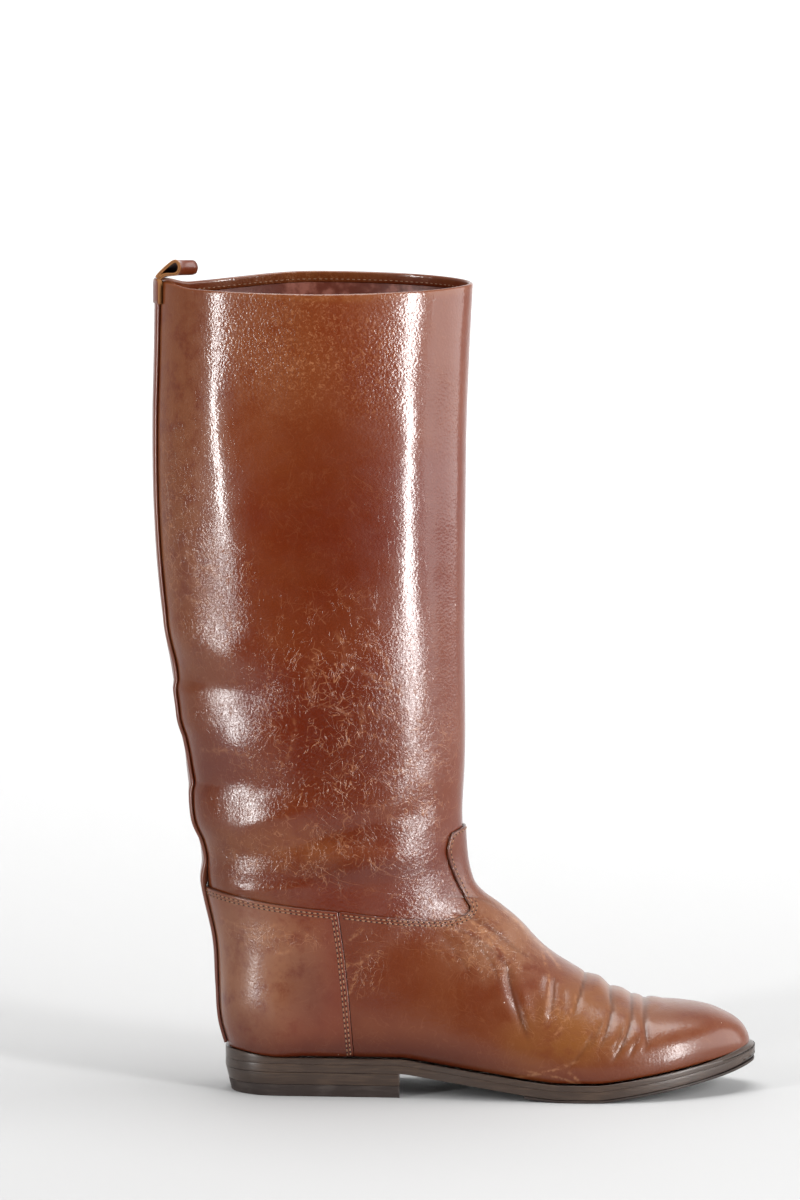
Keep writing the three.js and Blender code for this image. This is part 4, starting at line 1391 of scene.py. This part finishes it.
def stitchRow(surface, normal, threads, holes, size=1.0):
    travelled = travelAlong(surface)
    tubes, sides, radius = stitching["tubes"], stitching["sides"], stitching["radius"] * size
    arch = np.sqrt(np.clip(1 - np.linspace(-1, 1, tubes) ** 2, 0, 1))
    spin = 2 * math.pi * np.arange(sides) / sides

    def at(distance, values):
        return np.array([np.interp(distance, travelled, values[:, c]) for c in range(3)]).T

    for k in range(int(travelled[-1] / stitching["pitch"])):
        middle = (k + 0.5) * stitching["pitch"]
        line = at(middle + np.linspace(-0.5, 0.5, tubes) * stitching["length"], surface)
        out = at(middle, normal)
        out /= np.linalg.norm(out)
        along = line[-1] - line[0]
        along /= max(np.linalg.norm(along), 1e-9)
        across = np.cross(along, out)
        points, faces = threads
        start = len(points)
        for t in range(tubes):
            reach = radius * (0.4 + 0.6 * arch[t])
            centre = line[t] + out * (stitching["sink"] * arch[t] - radius * (1 - arch[t]))
            points.extend(centre + reach * (math.cos(a) * across + math.sin(a) * out) for a in spin)
        for t in range(tubes - 1):
            for n in range(sides):
                a, b, m = start + t * sides, start + (t + 1) * sides, (n + 1) % sides
                faces.append((a + n, a + m, b + m, b + n))
        faces.append(tuple(start + n for n in range(sides))[::-1])
        faces.append(tuple(start + (tubes - 1) * sides + n for n in range(sides)))
        if size < 1:
            continue
        points, faces = holes
        start = len(points)
        centre = at(middle + stitching["pitch"] / 2, surface)
        spots = [stitching["hole"] * (math.cos(a) * across + math.sin(a) * along) for a in spin]
        points.append(centre + out * 0.09)
        for height in (0.05, -0.25):
            points.extend(centre + out * height + spot for spot in spots)
        for n in range(sides):
            m = (n + 1) % sides
            faces.append((start, start + 1 + m, start + 1 + n))
            faces.append((start + 1 + n, start + 1 + m, start + 1 + sides + m, start + 1 + sides + n))
        faces.append(tuple(start + 1 + sides + n for n in range(sides)))


def buildStitches():
    threads, holes = ([], []), ([], [])
    for name in ("vamp", "counter"):
        top = panels[name]["clear"] + panels[name]["thickness"]
        for place, angle in stitchPlaces[name]:
            surface = leatherPoint(place, angle, np.full(len(place), top))
            stitchRow(surface, lastNormal(place, angle), threads, holes)
    # the row that holds the facing, inside the collar
    around = np.linspace(-math.pi, math.pi, 400)
    place = np.full(400, collarPlace - rimStep(shaft["facing"] - 0.9))
    surface = leatherPoint(place, around, np.full(400, -shaft["wall"]))
    stitchRow(surface, -lastNormal(place, around), threads, holes, 0.6)
    made = (("seam_stitches", threads, threadMaterial), ("stitch_holes", holes, holeDark))
    for label, (points, faces), material in made:
        piece = facePointsOut(addMesh(label, np.array(points), faces, [material]))
        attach(piece, "root")


buildStitches()
print("stitches made")

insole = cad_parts["insole"]
insole.data.materials.clear()
insole.data.materials.append(liningLeather)

# A white table with its front edge close before the boot, a pale sweep behind, and a dark room in front
studio = {
    "left": {"at": (-1.95, -1.64, 0.3), "size": (0.22, 2.7), "power": 90, "aim": (0, 0, 0.25)},
    "right": {"at": (1.9, -1.7, 0.3), "size": (0.37, 2.7), "power": 136, "aim": (0.05, 0, 0.25)},
    "rightWall": {"at": (2.6, -0.2, 0.7), "size": (2.4, 2.4), "power": 72, "aim": (0.05, 0, 0.3)},
    "above": {"at": (0.1, 0.1, 2.4), "size": (1.8, 1.4), "power": 58, "aim": (0.05, 0, 0.1)},
}
table = {"front": -0.42, "side": 1.6, "backAt": 1.2, "curve": 0.8, "height": 3.5}
ground = bpy.data.meshes.new("sweep")
bend = [(table["backAt"] + table["curve"] * math.sin(a), table["curve"] * (1 - math.cos(a)))
        for a in np.linspace(0.1, math.pi / 2, 12)]
top = (table["backAt"] + table["curve"], table["height"])
profile = [(table["front"], 0), (table["backAt"], 0), *bend, top]
vertices = [(x, y, z) for y, z in profile for x in (-table["side"], table["side"])]
ground.from_pydata(vertices, [], [(2 * k, 2 * k + 1, 2 * k + 3, 2 * k + 2) for k in range(len(profile) - 1)])
ground.polygons.foreach_set("use_smooth", [True] * len(ground.polygons))
paper, tree, shader = newMaterial("background paper, uncoated: an even pale ground that whitens behind")
place = addNode(tree, "ShaderNodeTexCoord").outputs["Object"]
along = addNode(tree, "ShaderNodeSeparateXYZ", {0: place}).outputs["Y"]
# painted light: the paper darkens towards the front and whitens towards the back
colour = mixColours(tree, smoothShare(tree, along, -0.1, 1.6), "#ababab", "#d9d9d9")
tree.links.new(colour, shader.inputs["Base Color"])
shader.inputs["Roughness"].default_value = 0.9
ground.materials.append(paper)
sweep = bpy.data.objects.new("sweep", ground)
scene.collection.objects.link(sweep)

for name, lamp in studio.items():
    light = bpy.data.lights.new(name, "AREA")
    light.shape = "RECTANGLE"
    light.size, light.size_y = lamp["size"]
    light.energy = lamp["power"]
    lampObject = bpy.data.objects.new(name, light)
    scene.collection.objects.link(lampObject)
    lampObject.location = lamp["at"]
    lampObject.rotation_euler = (Vector(lamp["aim"]) - Vector(lamp["at"])).to_track_quat("-Z", "Y").to_euler()

world = bpy.data.worlds.new("studio, white at the back and sides, dark in front")
world.use_nodes = True
tree = world.node_tree
way = addNode(tree, "ShaderNodeTexCoord").outputs["Generated"]
forward = addNode(tree, "ShaderNodeSeparateXYZ", {0: way}).outputs["Y"]
brightness = smoothShare(tree, forward, -0.6, 0.3, 0.02, 0.65)
tree.links.new(brightness, tree.nodes["Background"].inputs["Strength"])
tree.nodes["Background"].inputs["Color"].default_value = (1, 1, 1, 1)
scene.world = world
scene.view_settings.view_transform = "Standard"

# The camera of the photo, in metres: far off, so the lens is long
view = {"from": (0.0432, -10, 1.926), "to": (0.0432, 0, 0.255), "lens": 591.6, "sensor": 36, "far": 100}
camera = bpy.data.objects.new("camera", bpy.data.cameras.new("camera"))
scene.collection.objects.link(camera)
camera.location = view["from"]
camera.rotation_euler = (Vector(view["to"]) - camera.location).to_track_quat("-Z", "Y").to_euler()
camera.data.lens = view["lens"]
camera.data.sensor_width = view["sensor"]
camera.data.clip_end = view["far"]
scene.camera = camera

for piece in [o for o in scene.objects if o.type == "MESH" and not o.name.startswith("sweep")]:
    piece.data.calc_loop_triangles()
    print(piece.name, len(piece.data.loop_triangles))
